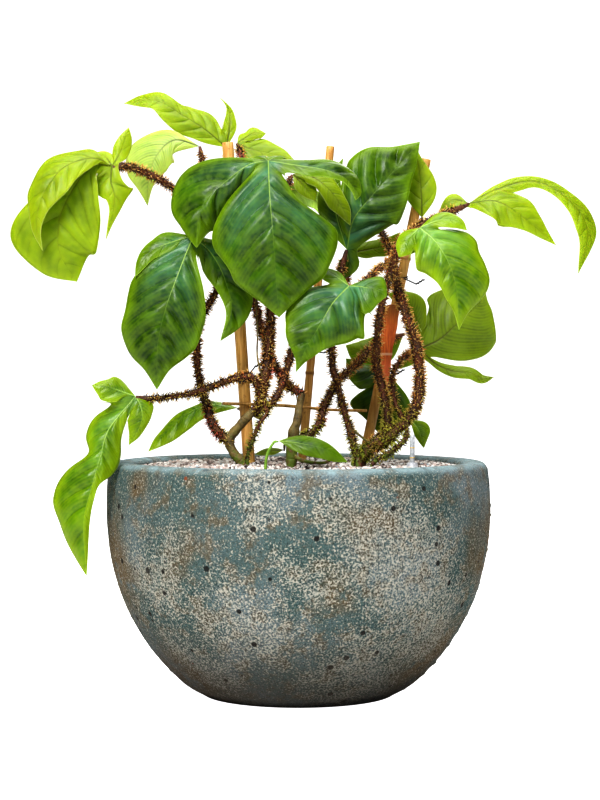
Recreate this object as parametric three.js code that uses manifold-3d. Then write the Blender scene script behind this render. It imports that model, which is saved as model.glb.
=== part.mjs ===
// A bowl planter with a climbing philodendron: hairy stems on three canes, five-lobed leaves.
// Millimetres, +Z up, +X to the right of the front view, +Y to the back. The origin is the
// centre of the planter's flat base.
import * as THREE from "three";
import { mergeVertices } from "three/addons/utils/BufferGeometryUtils.js";
import Module from "manifold-3d";

const wasm = await Module();
wasm.setup();

// Driving dimensions
const POT_HEIGHT = 290;
const POT_SEGMENTS = 40;
const SOIL_TOP = 284; // mean height of the granules
const SOIL_RELIEF = 2.6; // granules rise and fall this much about the mean
const SOIL_GAP = 0.4; // between the filling and the wall of the planter
const SOIL_RINGS = 8; // rings of the rough top, from the axis to the wall
const STEM_FOOT = 250; // stems and canes go down to this height in their holes
const HOLE_CLEARANCE = 0.6;
const LEAF_THICKNESS = 1.0;
const LEAF_CLEARANCE = 0.5; // between a blade and the stem that carries it
const VEIN_SLANT = 0.35; // side veins lean towards the tip by this share of their length
const LOBE_DROOP = 15; // degrees that half a blade hangs below its midrib, unless the lobe says
const LEAF_ROWS = 7; // rows of triangles along a lobe
const LEAF_STEPS = 2; // and across half of it
const TUBE_SIDES = 5;
const TUBE_STEP = 26; // length of one ring of a stem
const BRISTLE_LENGTH = 7;
const BRISTLE_RADIUS = 1.1;
const BRISTLE_SPACING = 10.5;
const BRISTLE_ROOT = 0.35; // share of the stem's radius at which a bristle starts
const BARE_FOOT = 10; // no bristles below this height over the granules
const GOLDEN_ANGLE = Math.PI * (3 - Math.sqrt(5));

// Outer wall of the planter from the foot to the lip, and the inner wall back down: [radius, height]
const POT_OUTSIDE = [
  [119, 0],
  [149, 19],
  [187, 61],
  [217, 114],
  [233, 168],
  [239, 217],
  [238.5, 258],
  [236, 281],
];
const POT_LIP = [
  [231, 288],
  [222, POT_HEIGHT],
  [211, 289],
  [204, 284],
];
const POT_INSIDE = [
  [202, 262],
  [202, 205],
  [184, 125],
  [130, 52],
];
const POT_FLOOR = 30;

const finish = (color, roughness, metalness = 0) =>
  new THREE.MeshStandardMaterial({ color, roughness, metalness });
const FINISHES = {
  pot: finish(0x6f8583, 0.85),
  granules: finish(0xb9aea2, 0.95),
  cane: finish(0xc99a5b, 0.6),
  tie: finish(0x17181a, 0.5),
  clearPlastic: finish(0xd5d9d8, 0.3),
  indicator: finish(0xc23b2a, 0.4),
  sheath: finish(0xc8683c, 0.7),
  stem: finish(0x5a2f1c, 0.7),
  shoot: finish(0x6f9a35, 0.5),
  matureLeaf: finish(0x2f7a35, 0.35),
  youngLeaf: finish(0x9cc02c, 0.4),
  oliveLeaf: finish(0x6c8a22, 0.45),
  freshLeaf: finish(0x5f9a1c, 0.4),
  paleLeaf: finish(0xb9c977, 0.5),
};

const point = (values) => new THREE.Vector3(...values);

// A small seeded random source, so that every build is alike.
function seededRandom(seed) {
  let state = seed;
  return () => {
    state = (state * 1664525 + 1013904223) % 4294967296;
    return state / 4294967296;
  };
}

// Catmull-Rom through numbers or points that are evenly spaced over 0 to 1.
function along(values, share) {
  const last = values.length - 1;
  const place = THREE.MathUtils.clamp(share, 0, 1) * last;
  const i = Math.min(Math.floor(place), last - 1);
  const t = place - i;
  const numbers = typeof values[0] === "number";
  const plus = (a, b, k) => (numbers ? a + b * k : a.clone().addScaledVector(b, k));
  const p1 = values[i];
  const p2 = values[i + 1];
  const p0 = i > 0 ? values[i - 1] : plus(plus(p1, p1, 1), p2, -1);
  const p3 = i + 2 <= last ? values[i + 2] : plus(plus(p2, p2, 1), p1, -1);
  const weights = [
    -0.5 * t + t * t - 0.5 * t ** 3,
    1 - 2.5 * t * t + 1.5 * t ** 3,
    0.5 * t + 2 * t * t - 1.5 * t ** 3,
    -0.5 * t * t + 0.5 * t ** 3,
  ];
  const zero = numbers ? 0 : new THREE.Vector3();
  return [p0, p1, p2, p3].reduce((sum, p, k) => plus(sum, p, weights[k]), zero);
}

// A triangle list as a geometry whose shared vertices are merged.
function geometryOf(triangles) {
  const numbers = triangles.flat().flatMap((p) => [p.x, p.y, p.z]);
  const soup = new THREE.BufferGeometry();
  soup.setAttribute("position", new THREE.Float32BufferAttribute(numbers, 3));
  return mergeVertices(soup, 1e-3);
}

// A closed geometry as a solid to cut and join.
function solidOf(geometry) {
  const bare = geometry.clone();
  bare.deleteAttribute("normal");
  bare.deleteAttribute("uv");
  const merged = mergeVertices(bare, 1e-3);
  return new wasm.Manifold(
    new wasm.Mesh({
      numProp: 3,
      vertProperties: merged.attributes.position.array,
      triVerts: new Uint32Array(merged.index.array),
    }),
  );
}

// The largest body of a solid as a geometry: a boolean may leave a loose scrap.
function geometryOfSolid(solid) {
  const bodies = solid.decompose();
  const largest = bodies.reduce((a, b) => (a.volume() > b.volume() ? a : b));
  const mesh = largest.getMesh();
  const geometry = new THREE.BufferGeometry();
  const positions = new Float32Array(mesh.vertProperties);
  geometry.setAttribute("position", new THREE.BufferAttribute(positions, 3));
  geometry.setIndex(new THREE.BufferAttribute(new Uint32Array(mesh.triVerts), 1));
  return geometry;
}

// Stems, petioles, roots and wires: a closed tube through points, its radius given along it.
function tubeRings(points, radii, sides, step) {
  const length = new THREE.CatmullRomCurve3(points).getLength();
  const rings = Math.max(2, Math.round(length / step));
  const result = [];
  let side = null;
  for (let k = 0; k <= rings; k++) {
    const share = k / rings;
    const centre = along(points, share);
    const tangent = along(points, share + 0.01)
      .sub(along(points, share - 0.01))
      .normalize();
    side ??= new THREE.Vector3(0.31, 0.93, 0.17).cross(tangent);
    side.addScaledVector(tangent, -side.dot(tangent)).normalize();
    const other = tangent.clone().cross(side);
    const radius = along(radii, share);
    const ring = [];
    for (let j = 0; j < sides; j++) {
      const angle = (2 * Math.PI * j) / sides;
      ring.push(
        centre
          .clone()
          .addScaledVector(side, radius * Math.cos(angle))
          .addScaledVector(other, radius * Math.sin(angle)),
      );
    }
    result.push({ centre, tangent, side: side.clone(), other, radius, ring });
  }
  return result;
}

function closedTube(rings) {
  const triangles = [];
  const sides = rings[0].ring.length;
  for (let k = 0; k < rings.length - 1; k++) {
    const a = rings[k].ring;
    const b = rings[k + 1].ring;
    for (let j = 0; j < sides; j++) {
      const n = (j + 1) % sides;
      triangles.push([a[j], a[n], b[n]], [a[j], b[n], b[j]]);
    }
  }
  const first = rings[0];
  const last = rings.at(-1);
  for (let j = 0; j < sides; j++) {
    const n = (j + 1) % sides;
    triangles.push([first.centre, first.ring[n], first.ring[j]]);
    triangles.push([last.centre, last.ring[j], last.ring[n]]);
  }
  return geometryOf(triangles);
}

const tube = (points, radii, sides = TUBE_SIDES, step = TUBE_STEP) =>
  closedTube(tubeRings(points, radii, sides, step));

// Three-sided bristles that wind round a stem, their roots sunk below its skin.
function bristlesOn(rings, spacing, random) {
  const bristles = [];
  const centres = rings.map((r) => r.centre);
  const length = new THREE.CatmullRomCurve3(centres).getLength();
  const count = Math.floor(length / spacing);
  for (let k = 0; k < count; k++) {
    const share = (k + 0.5) / count;
    const place = share * (rings.length - 1);
    const i = Math.min(Math.floor(place), rings.length - 2);
    const t = place - i;
    const centre = rings[i].centre.clone().lerp(rings[i + 1].centre, t);
    const radius = THREE.MathUtils.lerp(rings[i].radius, rings[i + 1].radius, t);
    const angle = k * GOLDEN_ANGLE + random();
    const out = rings[i].side
      .clone()
      .multiplyScalar(Math.cos(angle))
      .addScaledVector(rings[i].other, Math.sin(angle));
    const { tangent } = rings[i];
    const across = tangent.clone().cross(out);
    const root = centre.clone().addScaledVector(out, radius * BRISTLE_ROOT);
    const tip = centre
      .clone()
      .addScaledVector(out, radius + BRISTLE_LENGTH * (0.75 + 0.25 * random()))
      .addScaledVector(tangent, BRISTLE_LENGTH * (0.8 * random() - 0.4));
    const foot = [0, 1, 2].map((j) => {
      const turn = (2 * Math.PI * j) / 3;
      return root
        .clone()
        .addScaledVector(tangent, BRISTLE_RADIUS * Math.cos(turn))
        .addScaledVector(across, BRISTLE_RADIUS * Math.sin(turn));
    });
    bristles.push(
      solidOf(
        geometryOf([
          [foot[0], foot[1], foot[2]],
          [foot[1], foot[0], tip],
          [foot[2], foot[1], tip],
          [foot[0], foot[2], tip],
        ]),
      ),
    );
  }
  return bristles;
}

// Leaves. Every leaf is a fan of lobes that share the junction with the petiole. A lobe has a
// midrib (its points start at the junction and end at the drip tip) and half widths on its left
// and right, evenly spaced along it. Neighbouring lobes meet on a vein that runs out to the
// notch between them. Left is the left of someone who looks at the upper face, base on top.

// One side of a lobe: rows of points from the midrib to the margin.
function lobeSide(leaf, lobe, side, rows, steps) {
  const spine = [[0, 0, 0], ...lobe.midrib].map(point);
  const widths = [0, ...(side < 0 ? lobe.left : lobe.right), 0];
  const notch = side < 0 ? lobe.notchLeft : lobe.notchRight;
  const ownDroop = side < 0 ? lobe.droopLeft : lobe.droopRight;
  const droop = THREE.MathUtils.degToRad(ownDroop ?? lobe.droop ?? LOBE_DROOP);
  const blend = 1 / (widths.length - 1);
  const wave = lobe.wave ?? 0;
  const result = [];
  for (let i = 0; i <= rows; i++) {
    const share = i / rows;
    const base = along(spine, share);
    const tangent = along(spine, share + 0.02)
      .sub(along(spine, share - 0.02))
      .normalize();
    const face = point(leaf.face).lerp(point(lobe.face ?? leaf.face), Math.min(1, 2 * share));
    face.addScaledVector(tangent, -face.dot(tangent)).normalize();
    const outward = face.clone().cross(tangent).multiplyScalar(side);
    const width = Math.max(0, along(widths, share));
    const flat = outward
      .multiplyScalar(width * Math.cos(droop))
      .addScaledVector(tangent, width * VEIN_SLANT);
    const drop = face.clone().multiplyScalar(-width * Math.sin(droop));
    const near = THREE.MathUtils.smoothstep(share, 0, blend);
    if (notch) {
      const seam = point(notch).sub(base);
      flat.lerpVectors(seam, flat, near);
      drop.multiplyScalar(near);
    }
    const turns = Math.sin(2 * Math.PI * (lobe.waves ?? 2) * share);
    const lift = wave * turns * Math.sin(Math.PI * share);
    const row = [];
    for (let j = 0; j <= steps; j++) {
      const v = j / steps;
      row.push(
        base
          .clone()
          .addScaledVector(flat, v)
          .addScaledVector(drop, v * v)
          .addScaledVector(face, lift * v * v),
      );
    }
    result.push(row);
  }
  return result;
}

// The middle surface of a leaf as vertices and triangles, in the part's frame.
function leafSheet(leaf, rows, steps) {
  const triangles = [];
  const lobes = leaf.lobes.map((lobe, k) => ({
    ...lobe,
    notchLeft: k > 0 ? leaf.notches[k - 1] : undefined,
    notchRight: k < leaf.lobes.length - 1 ? leaf.notches[k] : undefined,
  }));
  for (const lobe of lobes) {
    const lobeRows = Math.max(3, Math.round(rows * (lobe.detail ?? 1)));
    for (const side of [-1, 1]) {
      const grid = lobeSide(leaf, lobe, side, lobeRows, steps);
      for (let i = 0; i < lobeRows; i++) {
        for (let j = 0; j < steps; j++) {
          const [a, d] = grid[i].slice(j, j + 2);
          const [b, c] = grid[i + 1].slice(j, j + 2);
          const shorter = a.distanceTo(c) <= b.distanceTo(d);
          const halves = shorter ? [[a, b, c], [a, c, d]] : [[a, b, d], [b, c, d]];
          for (const half of halves) triangles.push(side > 0 ? half : half.reverse());
        }
      }
    }
  }
  const place = point(leaf.at);
  const merged = geometryOf(triangles);
  const vertices = [];
  const positions = merged.attributes.position;
  for (let k = 0; k < positions.count; k++) {
    vertices.push(new THREE.Vector3().fromBufferAttribute(positions, k).add(place));
  }
  const faces = [];
  for (let k = 0; k < merged.index.count; k += 3) {
    const face = [0, 1, 2].map((j) => merged.index.getX(k + j));
    if (new Set(face).size === 3) faces.push(face);
  }
  return { vertices, faces };
}

// The sheet with a top and a bottom that are split alike, and a rim between them. A blade that
// is only there to cut its stem clear also grows past its margin.
function blade(leaf, thickness, grow = 0) {
  const { vertices, faces } = leafSheet(leaf, LEAF_ROWS, LEAF_STEPS);
  const normals = vertices.map(() => new THREE.Vector3());
  const edges = new Map();
  for (const [a, b, c] of faces) {
    const toC = vertices[c].clone().sub(vertices[a]);
    const normal = vertices[b].clone().sub(vertices[a]).cross(toC);
    for (const k of [a, b, c]) normals[k].add(normal);
    for (const [from, to] of [[a, b], [b, c], [c, a]]) edges.set(`${from},${to}`, [from, to]);
  }
  for (const normal of normals) normal.normalize().multiplyScalar(thickness / 2);
  const margin = [...edges.values()].filter(([a, b]) => !edges.has(`${b},${a}`));
  const outwards = vertices.map(() => new THREE.Vector3());
  for (const [a, b] of margin) {
    const outward = vertices[b].clone().sub(vertices[a]).cross(normals[a]).normalize();
    for (const k of [a, b]) outwards[k].add(outward);
  }
  if (grow > 0) vertices.forEach((v, k) => v.addScaledVector(outwards[k].normalize(), grow));
  const shift = (k, way) => vertices[k].clone().addScaledVector(normals[k], way);
  const top = vertices.map((_, k) => shift(k, 1));
  const bottom = vertices.map((_, k) => shift(k, -1));
  const triangles = [];
  for (const [a, b, c] of faces) {
    triangles.push([top[a], top[b], top[c]], [bottom[a], bottom[c], bottom[b]]);
  }
  for (const [a, b] of margin) {
    triangles.push([top[b], top[a], bottom[a]], [top[b], bottom[a], bottom[b]]);
  }
  return geometryOf(triangles);
}

const LEAVES = {
  leaf_front_centre: {
    finish: "matureLeaf",
    at: [-36, -115, 653],
    face: [0, -0.75, 0.65],
    notches: [[-12, 12, 3], [-16, -4, -9], [22, -8, -21], [13, 11, 3]],
    lobes: [
      {
        midrib: [[-8, 18, 7], [-15, 34, 5]], left: [9, 9], right: [10, 9], face: [0, -0.1, 1],
        detail: 0.5,
      },
      {
        midrib: [[-22, -3, -5], [-46, -5, -22], [-72, -7, -46], [-83, -9, -71], [-85, -9, -105]],
        left: [14, 50, 58, 45, 22], right: [34, 56, 56, 42, 20], face: [-0.3, -0.88, 0.3],
        droopLeft: 14, droopRight: 64,
      },
      {
        midrib: [[2, -18, -44], [6, -27, -90], [9, -23, -137], [13, -11, -187]],
        left: [38, 60, 73, 73, 65, 56, 50, 34, 17], right: [21, 34, 74, 78, 74, 66, 56, 38, 19],
        face: [0, -1, 0.05], droop: 14, wave: 5,
      },
      {
        midrib: [[38, -6, -7], [67, -9, -12], [90, -9, -21], [102, -6, -35], [104, -4, -48]],
        left: [12, 9, 6, 4], right: [18, 27, 23, 12], face: [0.1, -0.78, 0.62], droop: 18,
        detail: 0.8,
      },
      {
        midrib: [[10, 18, 7], [20, 32, 5]], left: [9, 8], right: [9, 8], face: [0, -0.1, 1],
        detail: 0.5,
      },
    ],
  },
  leaf_front_left: {
    finish: "matureLeaf",
    at: [-126, -105, 564],
    face: [-0.1, -0.8, 0.6],
    notches: [[-36, -2, -19], [7, -4, -31]],
    lobes: [
      {
        midrib: [[-27, 1, -8], [-48, -1, -17], [-61, -5, -32], [-69, -7, -50]],
        left: [20, 15, 11, 6], right: [16, 12, 9, 6], face: [-0.2, -0.9, 0.4], droop: 14,
        detail: 0.8,
      },
      {
        midrib: [[-16, -18, -44], [-31, -25, -87], [-41, -20, -132], [-43, -7, -184]],
        left: [42, 54, 54, 49, 48, 37, 16], right: [16, 36, 48, 49, 46, 34, 14],
        face: [-0.1, -1, 0.05], droop: 12, wave: 4,
      },
      {
        midrib: [[23, 13, -23], [38, 19, -54], [45, 19, -89], [32, 11, -126]],
        left: [18, 20, 14, 9, 4], right: [20, 30, 36, 28, 15], face: [0.3, -0.9, 0.1], droop: 14,
        detail: 0.9,
      },
    ],
  },
  leaf_front_low: {
    finish: "matureLeaf",
    at: [60, -115, 504],
    face: [0, -0.8, 0.6],
    notches: [[-25, 2, 3], [28, -6, -36]],
    lobes: [
      {
        midrib: [[-19, 8, 14], [-34, 15, 22]], left: [11, 9], right: [13, 11],
        face: [0, -0.6, 0.8], detail: 0.6,
      },
      {
        midrib: [[-20, -12, -22], [-37, -18, -51], [-52, -16, -77], [-63, -6, -103]],
        left: [40, 45, 45, 38, 30, 18, 6], right: [54, 48, 39, 27, 18, 12, 5], face: [0, -1, 0.1],
        droop: 13, wave: 3,
      },
      {
        midrib: [[18, -6, -2], [33, -9, -6], [45, -9, -13]], left: [32, 30, 22, 12],
        right: [22, 26, 21, 11], face: [0.1, -0.9, 0.4], droopLeft: 13, droopRight: 24,
        detail: 0.8,
      },
    ],
  },
  leaf_upper_right: {
    finish: "matureLeaf",
    at: [60, -10, 553],
    face: [0, -0.95, 0.3],
    notches: [[18, 3, 5], [-3, 3, 36]],
    lobes: [
      {
        midrib: [[2, 8, -14], [-4, 14, -26], [-8, 18, -38]], left: [12, 11, 6],
        right: [14, 12, 7], detail: 0.6,
      },
      {
        midrib: [[8, -6, 36], [29, -10, 64], [57, -6, 96], [91, 2, 134]],
        left: [50, 49, 46, 39, 28, 16], right: [12, 32, 50, 52, 42, 20], face: [0.05, -1, 0.2],
        droop: 12, wave: 3,
      },
      {
        midrib: [[-13, 8, 44], [-17, 12, 80], [-4, 10, 115]],
        left: [14, 14, 7], right: [19, 19, 10], droop: 10, detail: 0.6,
      },
    ],
  },
  leaf_upper_right_back: {
    finish: "youngLeaf",
    at: [155, 12, 594],
    face: [-0.15, -1, 0.1],
    notches: [],
    lobes: [
      {
        midrib: [[-1, -2, 30], [-4, -2, 58], [-9, -2, 91]], left: [15, 20, 18, 12, 5],
        right: [18, 22, 17, 8, 3],
      },
    ],
  },
  leaf_front_right: {
    finish: "freshLeaf",
    at: [145, -105, 574],
    face: [0, -0.75, 0.65],
    notches: [[-14, -3, -40], [36, -5, -6]],
    lobes: [
      {
        midrib: [[-14, 0, -14], [-25, -2, -36]], left: [13, 11], right: [18, 14], droop: 12,
        detail: 0.6,
      },
      {
        midrib: [[18, -14, -18], [34, -22, -46], [43, -20, -79], [46, -12, -123]],
        left: [30, 38, 30, 24, 19, 14, 5], right: [34, 48, 44, 45, 44, 33, 13],
        face: [0.1, -1, 0.15], droop: 14, wave: 4,
      },
      {
        midrib: [[24, -2, 9], [43, -4, 7], [56, -6, -4]], left: [10, 11, 7], right: [14, 14, 8],
        detail: 0.6,
      },
    ],
  },
  leaf_right: {
    finish: "oliveLeaf",
    at: [157, 70, 431],
    face: [0, -0.95, 0.3],
    notches: [[3, 0, -18], [13, 0, -14], [-4, 0, 34]],
    lobes: [
      { midrib: [[-12, 2, -14], [-31, 2, -27]], left: [7, 5], right: [7, 5], detail: 0.6 },
      {
        midrib: [[18, -2, -19], [40, -6, -29], [63, -10, -32], [78, -12, -39], [93, -14, -37]],
        left: [5, 8, 8, 6], right: [5, 10, 9, 6], face: [0.1, -0.9, 0.4], detail: 0.8,
      },
      {
        midrib: [[25, 2, 12], [51, 8, 35], [72, 10, 53], [84, 6, 72]],
        left: [30, 54, 54, 35, 12], right: [48, 53, 46, 34, 20], face: [0.2, -0.95, 0.2],
        droop: 14, wave: 3,
      },
      {
        midrib: [[-5, 2, 34], [-17, 4, 58], [-44, 4, 71]],
        left: [12, 20, 12], right: [8, 9, 9], face: [-0.1, -0.95, 0.2], detail: 0.8,
      },
    ],
  },
  leaf_far_right: {
    finish: "youngLeaf",
    at: [216, 40, 615],
    face: [0, -0.6, 0.8],
    notches: [[2, -2, -7], [24, 4, 10]],
    lobes: [
      {
        midrib: [[-20, 4, 4], [-38, 4, -12]], left: [10, 7], right: [12, 8],
        face: [-0.2, -0.9, 0.3], detail: 0.6,
      },
      {
        midrib: [[35, -10, 1], [72, -12, -22], [110, -6, -54]],
        left: [24, 30, 27, 19, 12, 6], right: [18, 27, 30, 25, 18, 9], face: [0, -0.9, 0.45],
        droop: 12, wave: 2,
      },
      {
        midrib: [[41, 10, 20], [87, 20, 29], [128, 14, 6], [152, 6, -34], [139, 0, -90]],
        left: [8, 12, 9, 9, 13, 18, 9], right: [6, 10, 9, 13, 17, 18, 9], face: [0.5, -0.8, 0.35],
        droop: 10,
      },
    ],
  },
  leaf_far_left: {
    finish: "youngLeaf",
    at: [-230, -30, 655],
    face: [-0.3, -0.7, 0.65],
    notches: [[-16, 2, 9], [-24, -10, 3], [-27, -8, -23], [9, 2, 3]],
    lobes: [
      {
        midrib: [[-8, 6, 11], [-20, 10, 18]], left: [9, 8], right: [9, 8], face: [0, -0.8, 0.5],
        detail: 0.5,
      },
      {
        midrib: [[-22, -14, 8], [-55, -32, -5], [-79, -42, -38], [-87, -44, -76], [-81, -36, -107]],
        left: [18, 26, 29, 24, 13, 6], right: [10, 20, 26, 20, 10, 4], face: [-0.3, -0.9, 0.3],
        droop: 12,
      },
      {
        midrib: [[-22, -4, 0], [-46, -10, -28], [-63, -14, -67], [-63, -14, -108], [-43, -4, -143]],
        left: [12, 20, 26, 44, 60, 43, 22], right: [16, 26, 46, 54, 52, 44, 26],
        face: [-0.05, -1, 0.1], droop: 10, wave: 4,
      },
      {
        midrib: [[-1, -2, -20], [4, -4, -38], [0, -3, -63], [-8, 2, -92]],
        left: [24, 18, 11, 5, 3], right: [16, 25, 14, 8, 3], face: [0.2, -0.95, 0.2],
      },
      {
        midrib: [[10, 8, 18], [20, 12, 49]], left: [8, 11, 9], right: [8, 11, 8],
        face: [0.2, -1, 0.1], detail: 0.6,
      },
    ],
  },
  leaf_left_pale: {
    finish: "paleLeaf",
    at: [-127, 75, 691],
    face: [0, -0.9, 0.45],
    notches: [],
    lobes: [
      {
        midrib: [[-32, -4, 7], [-53, -8, -11], [-64, -9, -39], [-67, 0, -77]],
        left: [9, 28, 42, 39, 30, 13], right: [16, 26, 22, 20, 13, 5],
      },
    ],
  },
  leaf_top_left: {
    finish: "youngLeaf",
    at: [-94, 120, 694],
    face: [0, -0.8, 0.6],
    notches: [[-6, 0, 31]],
    lobes: [
      {
        midrib: [[4, 2, 29], [3, 4, 51], [-10, 2, 67]], left: [9, 6, 2], right: [9, 6, 2],
        detail: 0.7,
      },
      {
        midrib: [[-28, -4, 23], [-57, -8, 41], [-93, -8, 60], [-134, -2, 57]],
        left: [24, 30, 23, 15, 18, 14], right: [17, 22, 24, 22, 14, 8], droop: 12, wave: 3,
      },
    ],
  },
  leaf_top_centre: {
    finish: "youngLeaf",
    at: [-79, 80, 695],
    face: [0, -0.85, 0.5],
    notches: [[24, 4, 6]],
    lobes: [
      {
        midrib: [[16, -2, -7], [40, -2, -13], [73, 0, -21]], left: [16, 19, 20, 19, 12],
        right: [14, 22, 23, 20, 13], droop: 12, detail: 0.8,
      },
      {
        midrib: [[11, 6, 8], [23, 10, 15], [37, 12, 14]], left: [8, 9, 10, 8],
        right: [10, 8, 11, 5], face: [0.1, -0.8, 0.5], detail: 0.6,
      },
    ],
  },
  leaf_centre_gap: {
    finish: "oliveLeaf",
    at: [-7, -30, 645],
    face: [0, -0.85, 0.5],
    notches: [[26, -6, -14]],
    lobes: [
      {
        midrib: [[14, -2, -15], [28, -2, -34]], left: [10, 11, 7], right: [10, 14, 10],
        detail: 0.7,
      },
      {
        midrib: [[23, -6, -4], [42, -10, -18], [58, -8, -38], [71, -2, -64]],
        left: [10, 9, 12, 14, 8], right: [10, 20, 16, 13, 10], droopLeft: 35,
      },
    ],
  },
  leaf_centre_shade: {
    finish: "oliveLeaf",
    at: [63, 55, 553],
    face: [0, -1, 0.2],
    notches: [],
    lobes: [
      {
        midrib: [[26, 2, 4], [50, 2, 10], [67, 0, 26]], left: [10, 11, 13, 7],
        right: [10, 12, 11, 6],
      },
    ],
  },
  leaf_behind_cane: {
    finish: "oliveLeaf",
    at: [137, 100, 450],
    face: [0, -0.95, 0.3],
    notches: [],
    lobes: [
      {
        midrib: [[-25, 2, -15], [-51, 2, -23], [-76, 0, -15]], left: [16, 20, 13],
        right: [20, 23, 15],
      },
    ],
  },
  leaf_low_dark: {
    finish: "matureLeaf",
    at: [120, 78, 394],
    face: [0, -0.95, 0.3],
    notches: [[-56, 0, -12]],
    lobes: [
      {
        midrib: [[-20, 2, 8], [-42, 2, 14], [-59, 0, 24]], left: [9, 10, 10, 7],
        right: [24, 30, 24, 12], face: [0, -0.75, 0.65], detail: 0.8,
      },
      {
        midrib: [[-2, 2, -20], [-6, 2, -42], [-13, 0, -76]], left: [34, 47, 50, 44, 30, 15],
        right: [14, 26, 32, 32, 24, 12], detail: 0.8,
      },
    ],
  },
  leaf_low_small: {
    finish: "freshLeaf",
    at: [139, -15, 342],
    face: [0, -0.95, 0.3],
    notches: [],
    lobes: [
      {
        midrib: [[11, -2, -14], [17, 0, -36]], left: [6, 8, 5], right: [12, 14, 7], detail: 0.7,
      },
    ],
  },
  leaf_over_rim: {
    finish: "freshLeaf",
    at: [-196, -95, 372],
    face: [-0.2, -0.7, 0.7],
    notches: [[-38, -8, -8], [-15, -4, -38]],
    lobes: [
      {
        midrib: [[-20, -2, 7], [-35, -4, 12], [-52, -4, 13]], left: [16, 17, 10, 6],
        right: [14, 18, 17, 10], face: [-0.2, -0.9, 0.4], detail: 0.7,
      },
      {
        midrib: [[-31, -8, -39], [-41, -16, -73], [-51, -24, -109], [-60, -28, -152], [-57, -20, -215]],
        left: [28, 30, 20, 42, 50, 45, 34, 20], right: [14, 24, 24, 20, 10, 9, 8, 5],
        face: [-0.25, -0.95, 0.1], droopLeft: 15, droopRight: 45, wave: 4,
      },
      {
        midrib: [[6, -2, -11], [8, -4, -26], [2, -3, -43], [-8, -1, -59]],
        left: [12, 18, 15, 8], right: [15, 12, 8, 5], face: [0.2, -0.9, 0.3], detail: 0.8,
      },
    ],
  },
  leaf_left_narrow: {
    finish: "freshLeaf",
    at: [-79, 120, 354],
    face: [0, -0.5, 0.87],
    notches: [],
    lobes: [
      {
        midrib: [[-36, 0, 4], [-68, 4, -9], [-97, 4, -35], [-118, 0, -58]],
        left: [14, 20, 20, 12], right: [22, 26, 22, 12],
      },
    ],
  },
  leaf_back_left: {
    finish: "matureLeaf",
    at: [-28, 118, 640],
    face: [0, 0.8, 0.6],
    notches: [[24, 2, -10], [-24, 2, -10]],
    lobes: [
      {
        midrib: [[28, 4, -2], [52, 6, -16], [62, 4, -42]], left: [12, 15, 8],
        right: [12, 14, 7], droop: 18, detail: 0.7,
      },
      {
        midrib: [[2, 18, -32], [4, 26, -70], [4, 22, -106], [2, 12, -134]],
        left: [34, 52, 48, 36, 18], right: [34, 52, 48, 36, 18], face: [0, 1, 0.1], droop: 14, wave: 4,
      },
      {
        midrib: [[-28, 4, -2], [-50, 6, -16], [-60, 4, -42]], left: [12, 15, 8],
        right: [12, 14, 7], droop: 18, detail: 0.7,
      },
    ],
  },
  leaf_back_right: {
    finish: "matureLeaf",
    at: [102, 118, 676],
    face: [0.1, 0.8, 0.6],
    notches: [[18, 2, -6], [-18, 2, -6]],
    lobes: [
      { midrib: [[20, 4, -2], [36, 6, -16]], left: [9, 9], right: [9, 9], droop: 18, detail: 0.6 },
      {
        midrib: [[0, 16, -22], [-2, 24, -46], [-4, 20, -68], [-6, 12, -88]],
        left: [24, 34, 32, 24, 12], right: [24, 34, 32, 24, 12], face: [0, 1, 0.1], droop: 14, wave: 3,
      },
      { midrib: [[-20, 4, -2], [-36, 6, -16]], left: [9, 9], right: [9, 9], droop: 18, detail: 0.6 },
    ],
  },
  leaf_rim_front: {
    finish: "matureLeaf",
    at: [-24, -110, 319],
    face: [0, -0.8, 0.6],
    notches: [],
    lobes: [
      {
        midrib: [[26, -4, -3], [55, -6, -10], [83, 0, -26]], left: [10, 14, 13, 9],
        right: [12, 15, 13, 8], detail: 0.8,
      },
    ],
  },
  leaf_rim_back: {
    finish: "oliveLeaf",
    at: [-18, 20, 303],
    face: [0, -0.7, 0.7],
    notches: [],
    lobes: [{ midrib: [[-20, 0, -2], [-38, 0, -6]], left: [6, 7, 4], right: [6, 6, 4], detail: 0.6 }],
  },
};

// The end of a petiole: just under the blade at the junction.
const junction = (name) => point(LEAVES[name].at);

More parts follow.
